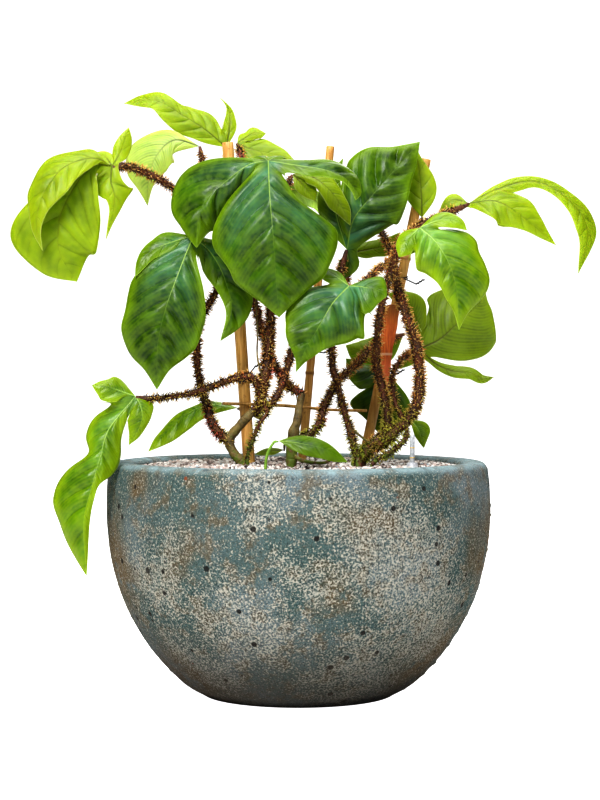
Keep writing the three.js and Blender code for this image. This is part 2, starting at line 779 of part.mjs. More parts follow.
// Climbing stems. A run is a stem, a petiole or an aerial root: its points, its radii from the
// first to the last, whether it is hairy, and the leaf it carries.
const VINES = {
  vine_left: {
    seed: 11,
    runs: [
      {
        path: [
          [-66, -55, STEM_FOOT], [-66, -55, 284], [-79, -54, 302], [-84, -53, 318],
          [-70, -52, 338], [-52, -51, 356], [-46, -50, 366],
        ],
        radii: [5.5, 6.2, 6.2, 5.5, 5], hairy: false,
      },
      {
        path: [
          [-54, -51, 353], [-45, -50, 370], [-42, -48, 390], [-37, -40, 428], [-34, -30, 481],
          [-34, -22, 553], [-38, -32, 612], [-38, -74, 644],
        ],
        radii: [6, 6, 5.5, 4.5, 4], hairy: true, leaf: "leaf_front_centre",
      },
      {
        path: [
          [-84, -53, 314], [-104, -46, 334], [-113, -40, 360], [-121, -34, 385],
          [-126, -30, 428], [-121, -34, 466], [-100, -44, 503], [-104, -62, 535],
          [-114, -86, 553],
        ],
        radii: [5, 4.5, 4, 3.6], hairy: true, leaf: "leaf_front_left",
      },
      {
        path: [
          [-46, -51, 372], [-57, -60, 394], [-76, -64, 393], [-98, -66, 386],
          [-127, -74, 376], [-170, -88, 369],
        ],
        radii: [4.5, 4, 3.6, 3.2], hairy: true, leaf: "leaf_over_rim",
      },
      {
        path: [
          [-53, -51, 350], [-29, -48, 367], [-16, -42, 398], [-7, -36, 428], [14, -26, 466],
          [46, -18, 510],
        ],
        radii: [4.5, 4.2, 4, 3.5], hairy: true, leaf: "leaf_upper_right",
      },
      {
        path: [[-34, -22, 553], [-52, 18, 610], [-70, 56, 668]],
        radii: [3.6, 3.2, 3], hairy: true, leaf: "leaf_top_centre",
      },
      {
        path: [[-34, -22, 553], [-22, -24, 600], [-12, -28, 634]],
        radii: [3.6, 3.2, 3], hairy: true, leaf: "leaf_centre_gap",
      },
      {
        path: [[-34, -24, 545], [-31, 24, 556], [-29, 76, 600]],
        radii: [3.8, 3.4, 3], hairy: true, leaf: "leaf_back_left",
      },
      {
        path: [[-55, -51, 350], [-50, -20, 346], [-48, 12, 344], [-56, 46, 347], [-70, 86, 352]],
        radii: [3.6, 3.2, 3], hairy: false, leaf: "leaf_left_narrow",
      },
      {
        path: [
          [-44, -52, 366], [-38, -68, 352], [-47, -72, 339], [-54, -73, 322],
          [-62, -72, 298], [-59, -70, 270], [-59, -70, STEM_FOOT],
        ],
        radii: [2.6, 2.4, 2.2], hairy: true,
      },
      {
        path: [[-42, -50, 388], [-50, -56, 418], [-50, -54, 452], [-52, -52, 488]],
        radii: [1.3, 1, 0.8], hairy: false,
      },
    ],
  },
  vine_middle: {
    seed: 23,
    runs: [
      {
        path: [
          [-9, -50, STEM_FOOT], [-9, -50, 284], [-6, -50, 326], [-2, -46, 340],
          [1, -40, 358], [4, -34, 374],
        ],
        radii: [7, 7.5, 6, 5, 4.5], hairy: false,
      },
      {
        path: [
          [4, -34, 374], [-13, -22, 384], [-23, -10, 400], [-32, 2, 412], [-46, 24, 453],
          [-61, 36, 503], [-92, 40, 572], [-159, 12, 632], [-206, -16, 654],
        ],
        radii: [5, 5, 4.8, 4.5, 4.5, 4], hairy: true, leaf: "leaf_far_left",
      },
      {
        path: [[-61, 36, 503], [-70, 62, 560], [-80, 90, 620], [-90, 110, 666]],
        radii: [4, 3.6, 3], hairy: true, leaf: "leaf_top_left",
      },
      {
        path: [[-92, 40, 572], [-112, 58, 620], [-122, 70, 664]],
        radii: [4, 3.6, 3], hairy: true, leaf: "leaf_left_pale",
      },
      {
        path: [
          [-2, -48, 318], [16, -48, 326], [27, -40, 340], [31, -32, 356], [44, -16, 382],
          [57, 0, 397], [73, 30, 410], [95, 62, 432], [118, 86, 443],
        ],
        radii: [4.5, 4.5, 4, 3.6], hairy: true, leaf: "leaf_behind_cane",
      },
      {
        path: [[-6, -50, 318], [-12, -34, 317], [-17, -4, 311]], radii: [2, 1.8, 1.6],
        hairy: false, leaf: "leaf_rim_back",
      },
      {
        path: [
          [-6, -50, 300], [2, -64, 294], [18, -72, 291], [32, -76, 291], [40, -78, 296],
          [44, -80, 304],
        ],
        radii: [3, 2.2, 2, 1.8], hairy: false,
      },
    ],
  },
  vine_right: {
    seed: 37,
    runs: [
      {
        path: [
          [74, -41, STEM_FOOT], [74, -41, 284], [80, -42, 298], [93, -44, 312],
          [107, -45, 324], [112, -46, 338],
        ],
        radii: [8, 9, 8, 7, 5.5], hairy: true,
      },
      {
        path: [
          [110, -46, 334], [108, -47, 352], [104, -48, 375], [99, -48, 395], [95, -48, 412],
          [96, -46, 434], [97, -44, 452], [104, -42, 491], [118, -56, 540], [132, -82, 562],
        ],
        radii: [4.5, 4.5, 4.2, 3.6], hairy: true, leaf: "leaf_front_right",
      },
      {
        path: [
          [93, -44, 308], [110, -49, 318], [121, -52, 331], [132, -52, 339],
          [140, -50, 351], [147, -46, 368], [149, -42, 390], [148, -36, 412],
          [145, -30, 434], [139, -24, 454], [132, -20, 476], [122, -14, 508],
          [119, -12, 541], [130, -12, 566], [158, 4, 586], [186, 24, 600],
        ],
        radii: [6.5, 6, 6, 6, 5.5, 4.5, 4], hairy: true, leaf: "leaf_far_right",
      },
      {
        path: [[119, -12, 541], [106, -36, 532], [90, -66, 520], [70, -90, 501]],
        radii: [3.6, 3.4, 3], hairy: true, leaf: "leaf_front_low",
      },
      {
        path: [[119, -12, 541], [102, 28, 586], [96, 82, 646]],
        radii: [3.6, 3.2, 3], hairy: true, leaf: "leaf_back_right",
      },
      {
        path: [[144, -4, 576], [149, 5, 584], [154, 11, 592]], radii: [3, 2.6], hairy: true,
        leaf: "leaf_upper_right_back",
      },
      {
        path: [
          [132, -50, 338], [124, -42, 352], [118, -36, 367], [116, -30, 385], [117, -26, 400],
          [124, -14, 411], [133, 6, 420], [141, 30, 424],
        ],
        radii: [3, 2.6, 2.8, 3.2], hairy: true, leaf: "leaf_right",
      },
      {
        path: [[139, -50, 350], [143, -38, 352], [141, -26, 347]],
        radii: [2.4, 2.2, 2], hairy: false, leaf: "leaf_low_small",
      },
      {
        path: [[107, -44, 330], [110, -20, 346], [113, 20, 366], [116, 50, 382]],
        radii: [3.4, 3.2, 3], hairy: true, leaf: "leaf_low_dark",
      },
      {
        path: [
          [74, -62, STEM_FOOT], [74, -62, 284], [72, -58, 296], [68, -52, 310],
          [63, -48, 330], [56, -47, 352], [51, -46, 372], [47, -45, 388], [42, -42, 407],
          [41, -36, 431], [43, -28, 466], [58, 14, 505],
        ],
        radii: [4, 4.5, 4.2, 4, 3.6], hairy: true, leaf: "leaf_centre_shade",
      },
      {
        path: [
          [132, -52, 336], [131, -60, 320], [120, -66, 309], [106, -70, 300], [94, -72, 293],
          [88, -72, 282], [88, -72, STEM_FOOT],
        ],
        radii: [3, 2.8, 2.4], hairy: true,
      },
      { path: [[62, -48, 333], [74, -52, 324], [88, -48, 312]], radii: [1.8, 1.5, 1.5], hairy: false },
    ],
  },
  shoot_front: {
    seed: 5,
    runs: [
      {
        path: [[-40, -104, STEM_FOOT], [-40, -104, 278], [-38, -106, 300], [-30, -108, 316]],
        radii: [2, 1.8, 1.6], hairy: false, leaf: "leaf_rim_front",
      },
    ],
    finish: "shoot",
  },
};

// Bamboo canes: cut top, foot, radius
const CANES = {
  cane_left: { top: [-88, -10, 686], foot: [-59, -10, STEM_FOOT], radius: 7.5 },
  cane_middle: { top: [41, 70, 690], foot: [1, 70, STEM_FOOT], radius: 5.5 },
  cane_right: { top: [161, 25, 669], foot: [74, 25, STEM_FOOT], radius: 6.5 },
};
const CANE_SIDES = 10;
const CANE_NODE_SPACING = 150; // from one ring of the bamboo to the next
const CANE_NODE = { swell: 1.14, waist: 0.96, half: 4, top: 0.9 }; // shares of the radius, mm
const CROSS_STICK = { ends: [[-94, -27, 362], [86, 15, 352]], radius: 1.9 };

// Wire ties round the canes: points and radius
const TIE_RADIUS = 0.9;
const TIE_STEP = 9;
const TIES = {
  tie_left: [[-79, -20, 392], [-71, -20, 387], [-63, -20, 396], [-54, -25, 407]],
  tie_middle: [[9, 62, 423], [17, 61, 425], [25, 62, 426], [33, 60, 425]],
  tie_right_low: [[96, 16, 393], [103, 16, 394], [111, 16, 396], [123, 10, 398]],
  tie_right_high: [[112, 12, 512], [122, 15, 517], [132, 16, 518], [148, 12, 511]],
};

// The dry scale in front of the right cane: centre line, half width and half depth
const SCALE_LEAF = {
  points: [[116, 10, 484], [113, 10, 452], [110, 10, 425], [109, 12, 396], [107, 14, 370]],
  widths: [11.5, 10, 7.5, 5.5, 0.8],
  depth: 0.32, // share of the half width
};
const SCALE_SIDES = 8;
const SCALE_STEP = 14;

// The water gauge: a clear tube closed on top, with a float inside and a collar round its foot
const GAUGE = { x: 138, y: -75, radius: 3, bore: 2, top: 325, cap: 3 };
const COLLAR = { radius: 8, topRadius: 6.5, bore: 3.4, foot: 283, top: 291 };
const GAUGE_SIDES = 12;
const FLOAT = { radius: 1.4, top: 293, foot: 262 };

// A profile of [radius, height] turned about the Y axis.
const lathed = (profile, sides) =>
  new THREE.LatheGeometry(profile.map(([r, h]) => new THREE.Vector2(r, h)), sides);

function potGeometry() {
  const profile = [[0, 0], ...POT_OUTSIDE, ...POT_LIP, ...POT_INSIDE, [0, POT_FLOOR]];
  return lathed(profile, POT_SEGMENTS).rotateX(Math.PI / 2);
}

function caneGeometry({ top, foot, radius }) {
  const from = point(foot);
  const to = point(top);
  const length = from.distanceTo(to);
  const profile = [[0, 0], [radius, 0]];
  const { swell, waist, half, top: cut } = CANE_NODE;
  for (let s = CANE_NODE_SPACING; s < length - 5 * half; s += CANE_NODE_SPACING) {
    profile.push([radius * waist, s - half], [radius * swell, s], [radius * waist, s + half]);
  }
  profile.push([radius * cut, length], [0, length]);
  const lathe = lathed(profile, CANE_SIDES);
  const up = new THREE.Vector3(0, 1, 0);
  const turn = new THREE.Quaternion().setFromUnitVectors(up, to.sub(from).normalize());
  return lathe.applyQuaternion(turn).translate(from.x, from.y, from.z);
}

// The filling: its top is a rough bed of granules, its wall follows the planter.
function fillingGeometry() {
  const random = seededRandom(7);
  const wall = POT_INSIDE.map(([r, h]) => [r - SOIL_GAP, h]);
  const topRadius = POT_LIP.at(-1)[0] - 4 * SOIL_GAP;
  const rough = [];
  for (let k = 0; k < SOIL_RINGS; k++) rough.push([(topRadius * k) / SOIL_RINGS, SOIL_TOP]);
  const edge = [topRadius, SOIL_TOP - SOIL_RELIEF];
  const profile = [...rough, edge, ...wall, [0, POT_FLOOR + SOIL_GAP]];
  const lathe = lathed(profile.reverse(), POT_SEGMENTS / 2).rotateX(Math.PI / 2);
  lathe.deleteAttribute("normal");
  lathe.deleteAttribute("uv");
  const merged = mergeVertices(lathe, 1e-3);
  const positions = merged.attributes.position;
  for (let k = 0; k < positions.count; k++) {
    if (Math.abs(positions.getZ(k) - SOIL_TOP) > 0.01) continue;
    positions.setZ(k, SOIL_TOP + SOIL_RELIEF * (2 * random() - 1));
  }
  return merged;
}

// A stem's hole: it ends a little below the stem's foot.
const HOLE_FOOT = STEM_FOOT - 2;
const HOLE_DEPTH = SOIL_TOP + 4 * SOIL_RELIEF - HOLE_FOOT;
const HOLE_SIDES = 10;
function holeFor([x, y], radius) {
  const hole = new THREE.CylinderGeometry(radius, radius, HOLE_DEPTH, HOLE_SIDES);
  hole.rotateX(Math.PI / 2).translate(x, y, HOLE_FOOT + HOLE_DEPTH / 2);
  return solidOf(hole);
}

function ellipticSpindle({ points, widths, depth }) {
  const rings = tubeRings(points.map(point), widths, SCALE_SIDES, SCALE_STEP);
  for (const ring of rings) {
    for (const p of ring.ring) p.y = ring.centre.y + (p.y - ring.centre.y) * depth;
  }
  return closedTube(rings);
}

const part = new THREE.Group();

function add(name, geometry, material) {
  const mesh = new THREE.Mesh(geometry, material);
  mesh.name = name;
  part.add(mesh);
  return mesh;
}

// A turned piece of the gauge from its profile: [radius, height]
function turnedAtGauge(profile) {
  return lathed(profile, GAUGE_SIDES).rotateX(Math.PI / 2).translate(GAUGE.x, GAUGE.y, 0);
}

add("planter", potGeometry(), FINISHES.pot);

// Leaves first: the stems are cut clear of them.
const bladeCuts = [];
for (const [name, leaf] of Object.entries(LEAVES)) {
  add(name, blade(leaf, LEAF_THICKNESS), FINISHES[leaf.finish]);
  bladeCuts.push(solidOf(blade(leaf, LEAF_THICKNESS + 2 * LEAF_CLEARANCE, LEAF_CLEARANCE)));
}

for (const [name, vine] of Object.entries(VINES)) {
  const random = seededRandom(vine.seed);
  let body = null;
  for (const run of vine.runs) {
    const points = run.path.map(point);
    if (run.leaf) points.push(junction(run.leaf));
    const rings = tubeRings(points, run.radii, TUBE_SIDES, TUBE_STEP);
    const pieces = [solidOf(closedTube(rings))];
    if (run.hairy) {
      const above = rings.filter((ring) => ring.centre.z > SOIL_TOP + BARE_FOOT);
      pieces.push(...bristlesOn(above, BRISTLE_SPACING, random));
    }
    for (const piece of pieces) body = body ? body.add(piece) : piece;
  }
  for (const cut of bladeCuts) body = body.subtract(cut);
  add(name, geometryOfSolid(body), FINISHES[vine.finish ?? "stem"]);
}

for (const [name, cane] of Object.entries(CANES)) add(name, caneGeometry(cane), FINISHES.cane);
const { ends, radius: stickRadius } = CROSS_STICK;
add("cross_stick", tube(ends.map(point), [stickRadius, stickRadius]), FINISHES.cane);
for (const [name, points] of Object.entries(TIES)) {
  const wire = tube(points.map(point), [TIE_RADIUS, TIE_RADIUS], TUBE_SIDES, TIE_STEP);
  add(name, wire, FINISHES.tie);
}
add("dry_scale", ellipticSpindle(SCALE_LEAF), FINISHES.sheath);

const boreTop = GAUGE.top - GAUGE.cap;
const tubeProfile = [
  [0, boreTop],
  [GAUGE.bore, boreTop],
  [GAUGE.bore, STEM_FOOT],
  [GAUGE.radius, STEM_FOOT],
  [GAUGE.radius, GAUGE.top],
  [0, GAUGE.top],
];
const collarProfile = [
  [COLLAR.bore, COLLAR.foot],
  [COLLAR.radius, COLLAR.foot],
  [COLLAR.topRadius, COLLAR.top],
  [COLLAR.bore, COLLAR.top],
  [COLLAR.bore, COLLAR.foot],
];
const floatProfile = [
  [0, FLOAT.foot],
  [FLOAT.radius, FLOAT.foot],
  [FLOAT.radius, FLOAT.top],
  [0, FLOAT.top],
];
add("gauge_tube", turnedAtGauge(tubeProfile), FINISHES.clearPlastic);
add("gauge_collar", turnedAtGauge(collarProfile), FINISHES.clearPlastic);
add("gauge_float", turnedAtGauge(floatProfile), FINISHES.indicator);

// The holes of the filling: a place and a radius each. A cane leans, so its hole is wider.
const HOLES = [
  [[-66, -55], 10],
  [[-59, -70], 4.5],
  [[-9, -50], 11],
  [[74, -41], 11.5],
  [[88.5, -72], 5.5],
  [[-40, -104], 3],
  [[74, -62], 6.5],
  [[GAUGE.x, GAUGE.y], COLLAR.radius + HOLE_CLEARANCE],
];
for (const { top, foot, radius } of Object.values(CANES)) {
  const lean = (top[0] - foot[0]) / (top[2] - foot[2]);
  const travel = (lean * (SOIL_TOP - STEM_FOOT)) / 2;
  const width = radius * CANE_NODE.swell + HOLE_CLEARANCE + Math.abs(travel);
  HOLES.push([[foot[0] + travel, foot[1]], width]);
}
let filling = solidOf(fillingGeometry());
for (const [place, radius] of HOLES) filling = filling.subtract(holeFor(place, radius));
add("granule_filling", geometryOfSolid(filling), FINISHES.granules);

export default part;
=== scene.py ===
"""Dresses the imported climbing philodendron: leaves, bristly stems, canes, granules and planter.

The tables are in millimetres and the meshes in metres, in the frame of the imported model: +X to
the right of the front view, +Y to the back, +Z up, the origin under the planter.
"""

import logging
import math
from collections.abc import Iterator
from dataclasses import dataclass
from enum import Enum
from typing import Any

import bpy
import numpy as np
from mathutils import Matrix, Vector, noise


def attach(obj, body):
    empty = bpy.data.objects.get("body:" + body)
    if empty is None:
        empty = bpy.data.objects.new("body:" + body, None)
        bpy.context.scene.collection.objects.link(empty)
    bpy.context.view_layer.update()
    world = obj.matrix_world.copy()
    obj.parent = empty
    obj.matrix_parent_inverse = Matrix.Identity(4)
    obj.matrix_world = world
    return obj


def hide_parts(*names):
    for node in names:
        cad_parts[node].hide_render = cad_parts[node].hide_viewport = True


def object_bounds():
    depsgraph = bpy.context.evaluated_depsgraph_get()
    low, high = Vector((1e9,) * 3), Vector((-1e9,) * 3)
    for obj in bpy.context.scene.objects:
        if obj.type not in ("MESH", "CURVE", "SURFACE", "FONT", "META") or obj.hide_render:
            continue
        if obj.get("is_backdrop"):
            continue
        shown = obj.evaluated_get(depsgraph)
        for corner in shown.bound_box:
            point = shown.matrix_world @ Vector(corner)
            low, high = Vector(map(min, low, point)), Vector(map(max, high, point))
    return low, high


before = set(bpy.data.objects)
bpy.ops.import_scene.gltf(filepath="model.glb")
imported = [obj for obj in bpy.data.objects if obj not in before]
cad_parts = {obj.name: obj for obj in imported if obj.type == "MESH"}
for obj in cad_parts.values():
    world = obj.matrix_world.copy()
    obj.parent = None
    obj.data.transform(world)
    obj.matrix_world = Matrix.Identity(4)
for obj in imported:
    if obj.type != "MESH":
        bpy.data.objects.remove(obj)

BOUNDS_AT_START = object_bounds()
LOG = logging.getLogger("philodendron")
MM = 0.001
FIRST_SIDE = (0.31, 0.93, 0.17)
Point = tuple[float, float, float]
Faces = list[list[int]]
Body = tuple[np.ndarray, Faces]
Stops = tuple[tuple[float, str], ...]
Spots = tuple[tuple[float, float, float, float], ...]


class Age(Enum):
    """How old a leaf is, which sets its colour, veins and gloss."""

    MATURE = "mature_leaf"
    FRESH = "fresh_leaf"
    YOUNG = "young_leaf"
    OLIVE = "olive_leaf"
    PALE = "pale_leaf"


@dataclass(frozen=True)
class Lobe:
    """One lobe of a leaf: its midrib from the junction on, and its half widths along it."""

    midrib: tuple[Point, ...]
    left: tuple[float, ...]
    right: tuple[float, ...]
    face: Point | None = None
    droop: float = 15.0
    droop_left: float | None = None
    droop_right: float | None = None
    wave: float = 0.0


@dataclass(frozen=True)
class Leaf:
    """A fan of lobes round the junction with the petiole; neighbours meet at the notches."""

    age: Age
    at: Point
    face: Point
    notches: tuple[Point, ...]
    lobes: tuple[Lobe, ...]


@dataclass(frozen=True)
class Run:
    """A stem, petiole or aerial root: its points, its radii, and the leaf that it carries."""

    path: tuple[Point, ...]
    radii: tuple[float, ...]
    hairy: bool
    leaf: str


def fan(age: Age, at: Point, face: Point, notches: tuple[Point, ...], *lobes: Lobe) -> Leaf:
    """A leaf from its lobes, left to right."""
    return Leaf(age, at, face, notches, lobes)


def bristly(radii: tuple[float, ...], leaf: str, *path: Point) -> Run:
    """A run with bristles."""
    return Run(path, radii, True, leaf)


def bare(radii: tuple[float, ...], leaf: str, *path: Point) -> Run:
    """A run without bristles."""
    return Run(path, radii, False, leaf)


LEAVES: dict[str, Leaf] = {
    "leaf_front_centre": fan(
        Age.MATURE, (-36, -115, 653), (0, -0.75, 0.65),
        ((-12, 12, 3), (-16, -4, -9), (22, -8, -21), (13, 11, 3)),
        Lobe(((-8, 18, 7), (-15, 34, 5)), (9, 9), (10, 9), (0, -0.1, 1)),
        Lobe(((-22, -3, -5), (-46, -5, -22), (-72, -7, -46), (-83, -9, -71), (-85, -9, -105)),
            (14, 50, 58, 45, 22), (34, 56, 56, 42, 20), (-0.3, -0.88, 0.3), droop_left=14,
            droop_right=64),
        Lobe(((2, -18, -44), (6, -27, -90), (9, -23, -137), (13, -11, -187)),
            (38, 60, 73, 73, 65, 56, 50, 34, 17), (21, 34, 74, 78, 74, 66, 56, 38, 19), (0, -1, 0.05),
            droop=14, wave=5),
        Lobe(((38, -6, -7), (67, -9, -12), (90, -9, -21), (102, -6, -35), (104, -4, -48)), (12, 9, 6, 4),
            (18, 27, 23, 12), (0.1, -0.78, 0.62), droop=18),
        Lobe(((10, 18, 7), (20, 32, 5)), (9, 8), (9, 8), (0, -0.1, 1)),
    ),
    "leaf_front_left": fan(
        Age.MATURE, (-126, -105, 564), (-0.1, -0.8, 0.6), ((-36, -2, -19), (7, -4, -31)),
        Lobe(((-27, 1, -8), (-48, -1, -17), (-61, -5, -32), (-69, -7, -50)), (20, 15, 11, 6),
            (16, 12, 9, 6), (-0.2, -0.9, 0.4), droop=14),
        Lobe(((-16, -18, -44), (-31, -25, -87), (-41, -20, -132), (-43, -7, -184)),
            (42, 54, 54, 49, 48, 37, 16), (16, 36, 48, 49, 46, 34, 14), (-0.1, -1, 0.05), droop=12,
            wave=4),
        Lobe(((23, 13, -23), (38, 19, -54), (45, 19, -89), (32, 11, -126)), (18, 20, 14, 9, 4),
            (20, 30, 36, 28, 15), (0.3, -0.9, 0.1), droop=14),
    ),
    "leaf_front_low": fan(
        Age.MATURE, (60, -115, 504), (0, -0.8, 0.6), ((-25, 2, 3), (28, -6, -36)),
        Lobe(((-19, 8, 14), (-34, 15, 22)), (11, 9), (13, 11), (0, -0.6, 0.8)),
        Lobe(((-20, -12, -22), (-37, -18, -51), (-52, -16, -77), (-63, -6, -103)),
            (40, 45, 45, 38, 30, 18, 6), (54, 48, 39, 27, 18, 12, 5), (0, -1, 0.1), droop=13, wave=3),
        Lobe(((18, -6, -2), (33, -9, -6), (45, -9, -13)), (32, 30, 22, 12), (22, 26, 21, 11),
            (0.1, -0.9, 0.4), droop_left=13, droop_right=24),
    ),
    "leaf_upper_right": fan(
        Age.MATURE, (60, -10, 553), (0, -0.95, 0.3), ((18, 3, 5), (-3, 3, 36)),
        Lobe(((2, 8, -14), (-4, 14, -26), (-8, 18, -38)), (12, 11, 6), (14, 12, 7)),
        Lobe(((8, -6, 36), (29, -10, 64), (57, -6, 96), (91, 2, 134)), (50, 49, 46, 39, 28, 16),
            (12, 32, 50, 52, 42, 20), (0.05, -1, 0.2), droop=12, wave=3),
        Lobe(((-13, 8, 44), (-17, 12, 80), (-4, 10, 115)), (14, 14, 7), (19, 19, 10), droop=10),
    ),
    "leaf_upper_right_back": fan(
        Age.YOUNG, (155, 12, 594), (-0.15, -1, 0.1), (),
        Lobe(((-1, -2, 30), (-4, -2, 58), (-9, -2, 91)), (15, 20, 18, 12, 5), (18, 22, 17, 8, 3)),
    ),
    "leaf_front_right": fan(
        Age.FRESH, (145, -105, 574), (0, -0.75, 0.65), ((-14, -3, -40), (36, -5, -6)),
        Lobe(((-14, 0, -14), (-25, -2, -36)), (13, 11), (18, 14), droop=12),
        Lobe(((18, -14, -18), (34, -22, -46), (43, -20, -79), (46, -12, -123)),
            (30, 38, 30, 24, 19, 14, 5), (34, 48, 44, 45, 44, 33, 13), (0.1, -1, 0.15), droop=14, wave=4),
        Lobe(((24, -2, 9), (43, -4, 7), (56, -6, -4)), (10, 11, 7), (14, 14, 8)),
    ),
    "leaf_right": fan(
        Age.OLIVE, (157, 70, 431), (0, -0.95, 0.3), ((3, 0, -18), (13, 0, -14), (-4, 0, 34)),
        Lobe(((-12, 2, -14), (-31, 2, -27)), (7, 5), (7, 5)),
        Lobe(((18, -2, -19), (40, -6, -29), (63, -10, -32), (78, -12, -39), (93, -14, -37)), (5, 8, 8, 6),
            (5, 10, 9, 6), (0.1, -0.9, 0.4)),
        Lobe(((25, 2, 12), (51, 8, 35), (72, 10, 53), (84, 6, 72)), (30, 54, 54, 35, 12),
            (48, 53, 46, 34, 20), (0.2, -0.95, 0.2), droop=14, wave=3),
        Lobe(((-5, 2, 34), (-17, 4, 58), (-44, 4, 71)), (12, 20, 12), (8, 9, 9), (-0.1, -0.95, 0.2)),
    ),
    "leaf_far_right": fan(
        Age.YOUNG, (216, 40, 615), (0, -0.6, 0.8), ((2, -2, -7), (24, 4, 10)),
        Lobe(((-20, 4, 4), (-38, 4, -12)), (10, 7), (12, 8), (-0.2, -0.9, 0.3)),
        Lobe(((35, -10, 1), (72, -12, -22), (110, -6, -54)), (24, 30, 27, 19, 12, 6),
            (18, 27, 30, 25, 18, 9), (0, -0.9, 0.45), droop=12, wave=2),
        Lobe(((41, 10, 20), (87, 20, 29), (128, 14, 6), (152, 6, -34), (139, 0, -90)),
            (8, 12, 9, 9, 13, 18, 9), (6, 10, 9, 13, 17, 18, 9), (0.5, -0.8, 0.35), droop=10),
    ),
    "leaf_far_left": fan(
        Age.YOUNG, (-230, -30, 655), (-0.3, -0.7, 0.65),
        ((-16, 2, 9), (-24, -10, 3), (-27, -8, -23), (9, 2, 3)),
        Lobe(((-8, 6, 11), (-20, 10, 18)), (9, 8), (9, 8), (0, -0.8, 0.5)),
        Lobe(((-22, -14, 8), (-55, -32, -5), (-79, -42, -38), (-87, -44, -76), (-81, -36, -107)),
            (18, 26, 29, 24, 13, 6), (10, 20, 26, 20, 10, 4), (-0.3, -0.9, 0.3), droop=12),
        Lobe(((-22, -4, 0), (-46, -10, -28), (-63, -14, -67), (-63, -14, -108), (-43, -4, -143)),
            (12, 20, 26, 44, 60, 43, 22), (16, 26, 46, 54, 52, 44, 26), (-0.05, -1, 0.1), droop=10,
            wave=4),
        Lobe(((-1, -2, -20), (4, -4, -38), (0, -3, -63), (-8, 2, -92)), (24, 18, 11, 5, 3),
            (16, 25, 14, 8, 3), (0.2, -0.95, 0.2)),
        Lobe(((10, 8, 18), (20, 12, 49)), (8, 11, 9), (8, 11, 8), (0.2, -1, 0.1)),
    ),
    "leaf_left_pale": fan(
        Age.PALE, (-127, 75, 691), (0, -0.9, 0.45), (),
        Lobe(((-32, -4, 7), (-53, -8, -11), (-64, -9, -39), (-67, 0, -77)), (9, 28, 42, 39, 30, 13),
            (16, 26, 22, 20, 13, 5)),
    ),
    "leaf_top_left": fan(
        Age.YOUNG, (-94, 120, 694), (0, -0.8, 0.6), ((-6, 0, 31),),
        Lobe(((4, 2, 29), (3, 4, 51), (-10, 2, 67)), (9, 6, 2), (9, 6, 2)),
        Lobe(((-28, -4, 23), (-57, -8, 41), (-93, -8, 60), (-134, -2, 57)), (24, 30, 23, 15, 18, 14),
            (17, 22, 24, 22, 14, 8), droop=12, wave=3),
    ),
    "leaf_top_centre": fan(
        Age.YOUNG, (-79, 80, 695), (0, -0.85, 0.5), ((24, 4, 6),),
        Lobe(((16, -2, -7), (40, -2, -13), (73, 0, -21)), (16, 19, 20, 19, 12), (14, 22, 23, 20, 13),
            droop=12),
        Lobe(((11, 6, 8), (23, 10, 15), (37, 12, 14)), (8, 9, 10, 8), (10, 8, 11, 5), (0.1, -0.8, 0.5)),
    ),
    "leaf_centre_gap": fan(
        Age.OLIVE, (-7, -30, 645), (0, -0.85, 0.5), ((26, -6, -14),),
        Lobe(((14, -2, -15), (28, -2, -34)), (10, 11, 7), (10, 14, 10)),
        Lobe(((23, -6, -4), (42, -10, -18), (58, -8, -38), (71, -2, -64)), (10, 9, 12, 14, 8),
            (10, 20, 16, 13, 10), droop_left=35),
    ),
    "leaf_centre_shade": fan(
        Age.OLIVE, (63, 55, 553), (0, -1, 0.2), (),
        Lobe(((26, 2, 4), (50, 2, 10), (67, 0, 26)), (10, 11, 13, 7), (10, 12, 11, 6)),
    ),
    "leaf_behind_cane": fan(
        Age.OLIVE, (137, 100, 450), (0, -0.95, 0.3), (),
        Lobe(((-25, 2, -15), (-51, 2, -23), (-76, 0, -15)), (16, 20, 13), (20, 23, 15)),
    ),
    "leaf_low_dark": fan(
        Age.MATURE, (120, 78, 394), (0, -0.95, 0.3), ((-56, 0, -12),),
        Lobe(((-20, 2, 8), (-42, 2, 14), (-59, 0, 24)), (9, 10, 10, 7), (24, 30, 24, 12),
            (0, -0.75, 0.65)),
        Lobe(((-2, 2, -20), (-6, 2, -42), (-13, 0, -76)), (34, 47, 50, 44, 30, 15),
            (14, 26, 32, 32, 24, 12)),
    ),
    "leaf_low_small": fan(
        Age.FRESH, (139, -15, 342), (0, -0.95, 0.3), (),
        Lobe(((11, -2, -14), (17, 0, -36)), (6, 8, 5), (12, 14, 7)),
    ),
    "leaf_over_rim": fan(
        Age.FRESH, (-196, -95, 372), (-0.2, -0.7, 0.7), ((-38, -8, -8), (-15, -4, -38)),
        Lobe(((-20, -2, 7), (-35, -4, 12), (-52, -4, 13)), (16, 17, 10, 6), (14, 18, 17, 10),
            (-0.2, -0.9, 0.4)),
        Lobe(((-31, -8, -39), (-41, -16, -73), (-51, -24, -109), (-60, -28, -152), (-57, -20, -215)),
            (28, 30, 20, 42, 50, 45, 34, 20), (14, 24, 24, 20, 10, 9, 8, 5), (-0.25, -0.95, 0.1),
            droop_left=15, droop_right=45, wave=4),
        Lobe(((6, -2, -11), (8, -4, -26), (2, -3, -43), (-8, -1, -59)), (12, 18, 15, 8), (15, 12, 8, 5),
            (0.2, -0.9, 0.3)),
    ),
    "leaf_left_narrow": fan(
        Age.FRESH, (-79, 120, 354), (0, -0.5, 0.87), (),
        Lobe(((-36, 0, 4), (-68, 4, -9), (-97, 4, -35), (-118, 0, -58)), (14, 20, 20, 12),
            (22, 26, 22, 12)),
    ),
    "leaf_back_left": fan(
        Age.MATURE, (-28, 118, 640), (0, 0.8, 0.6), ((24, 2, -10), (-24, 2, -10)),
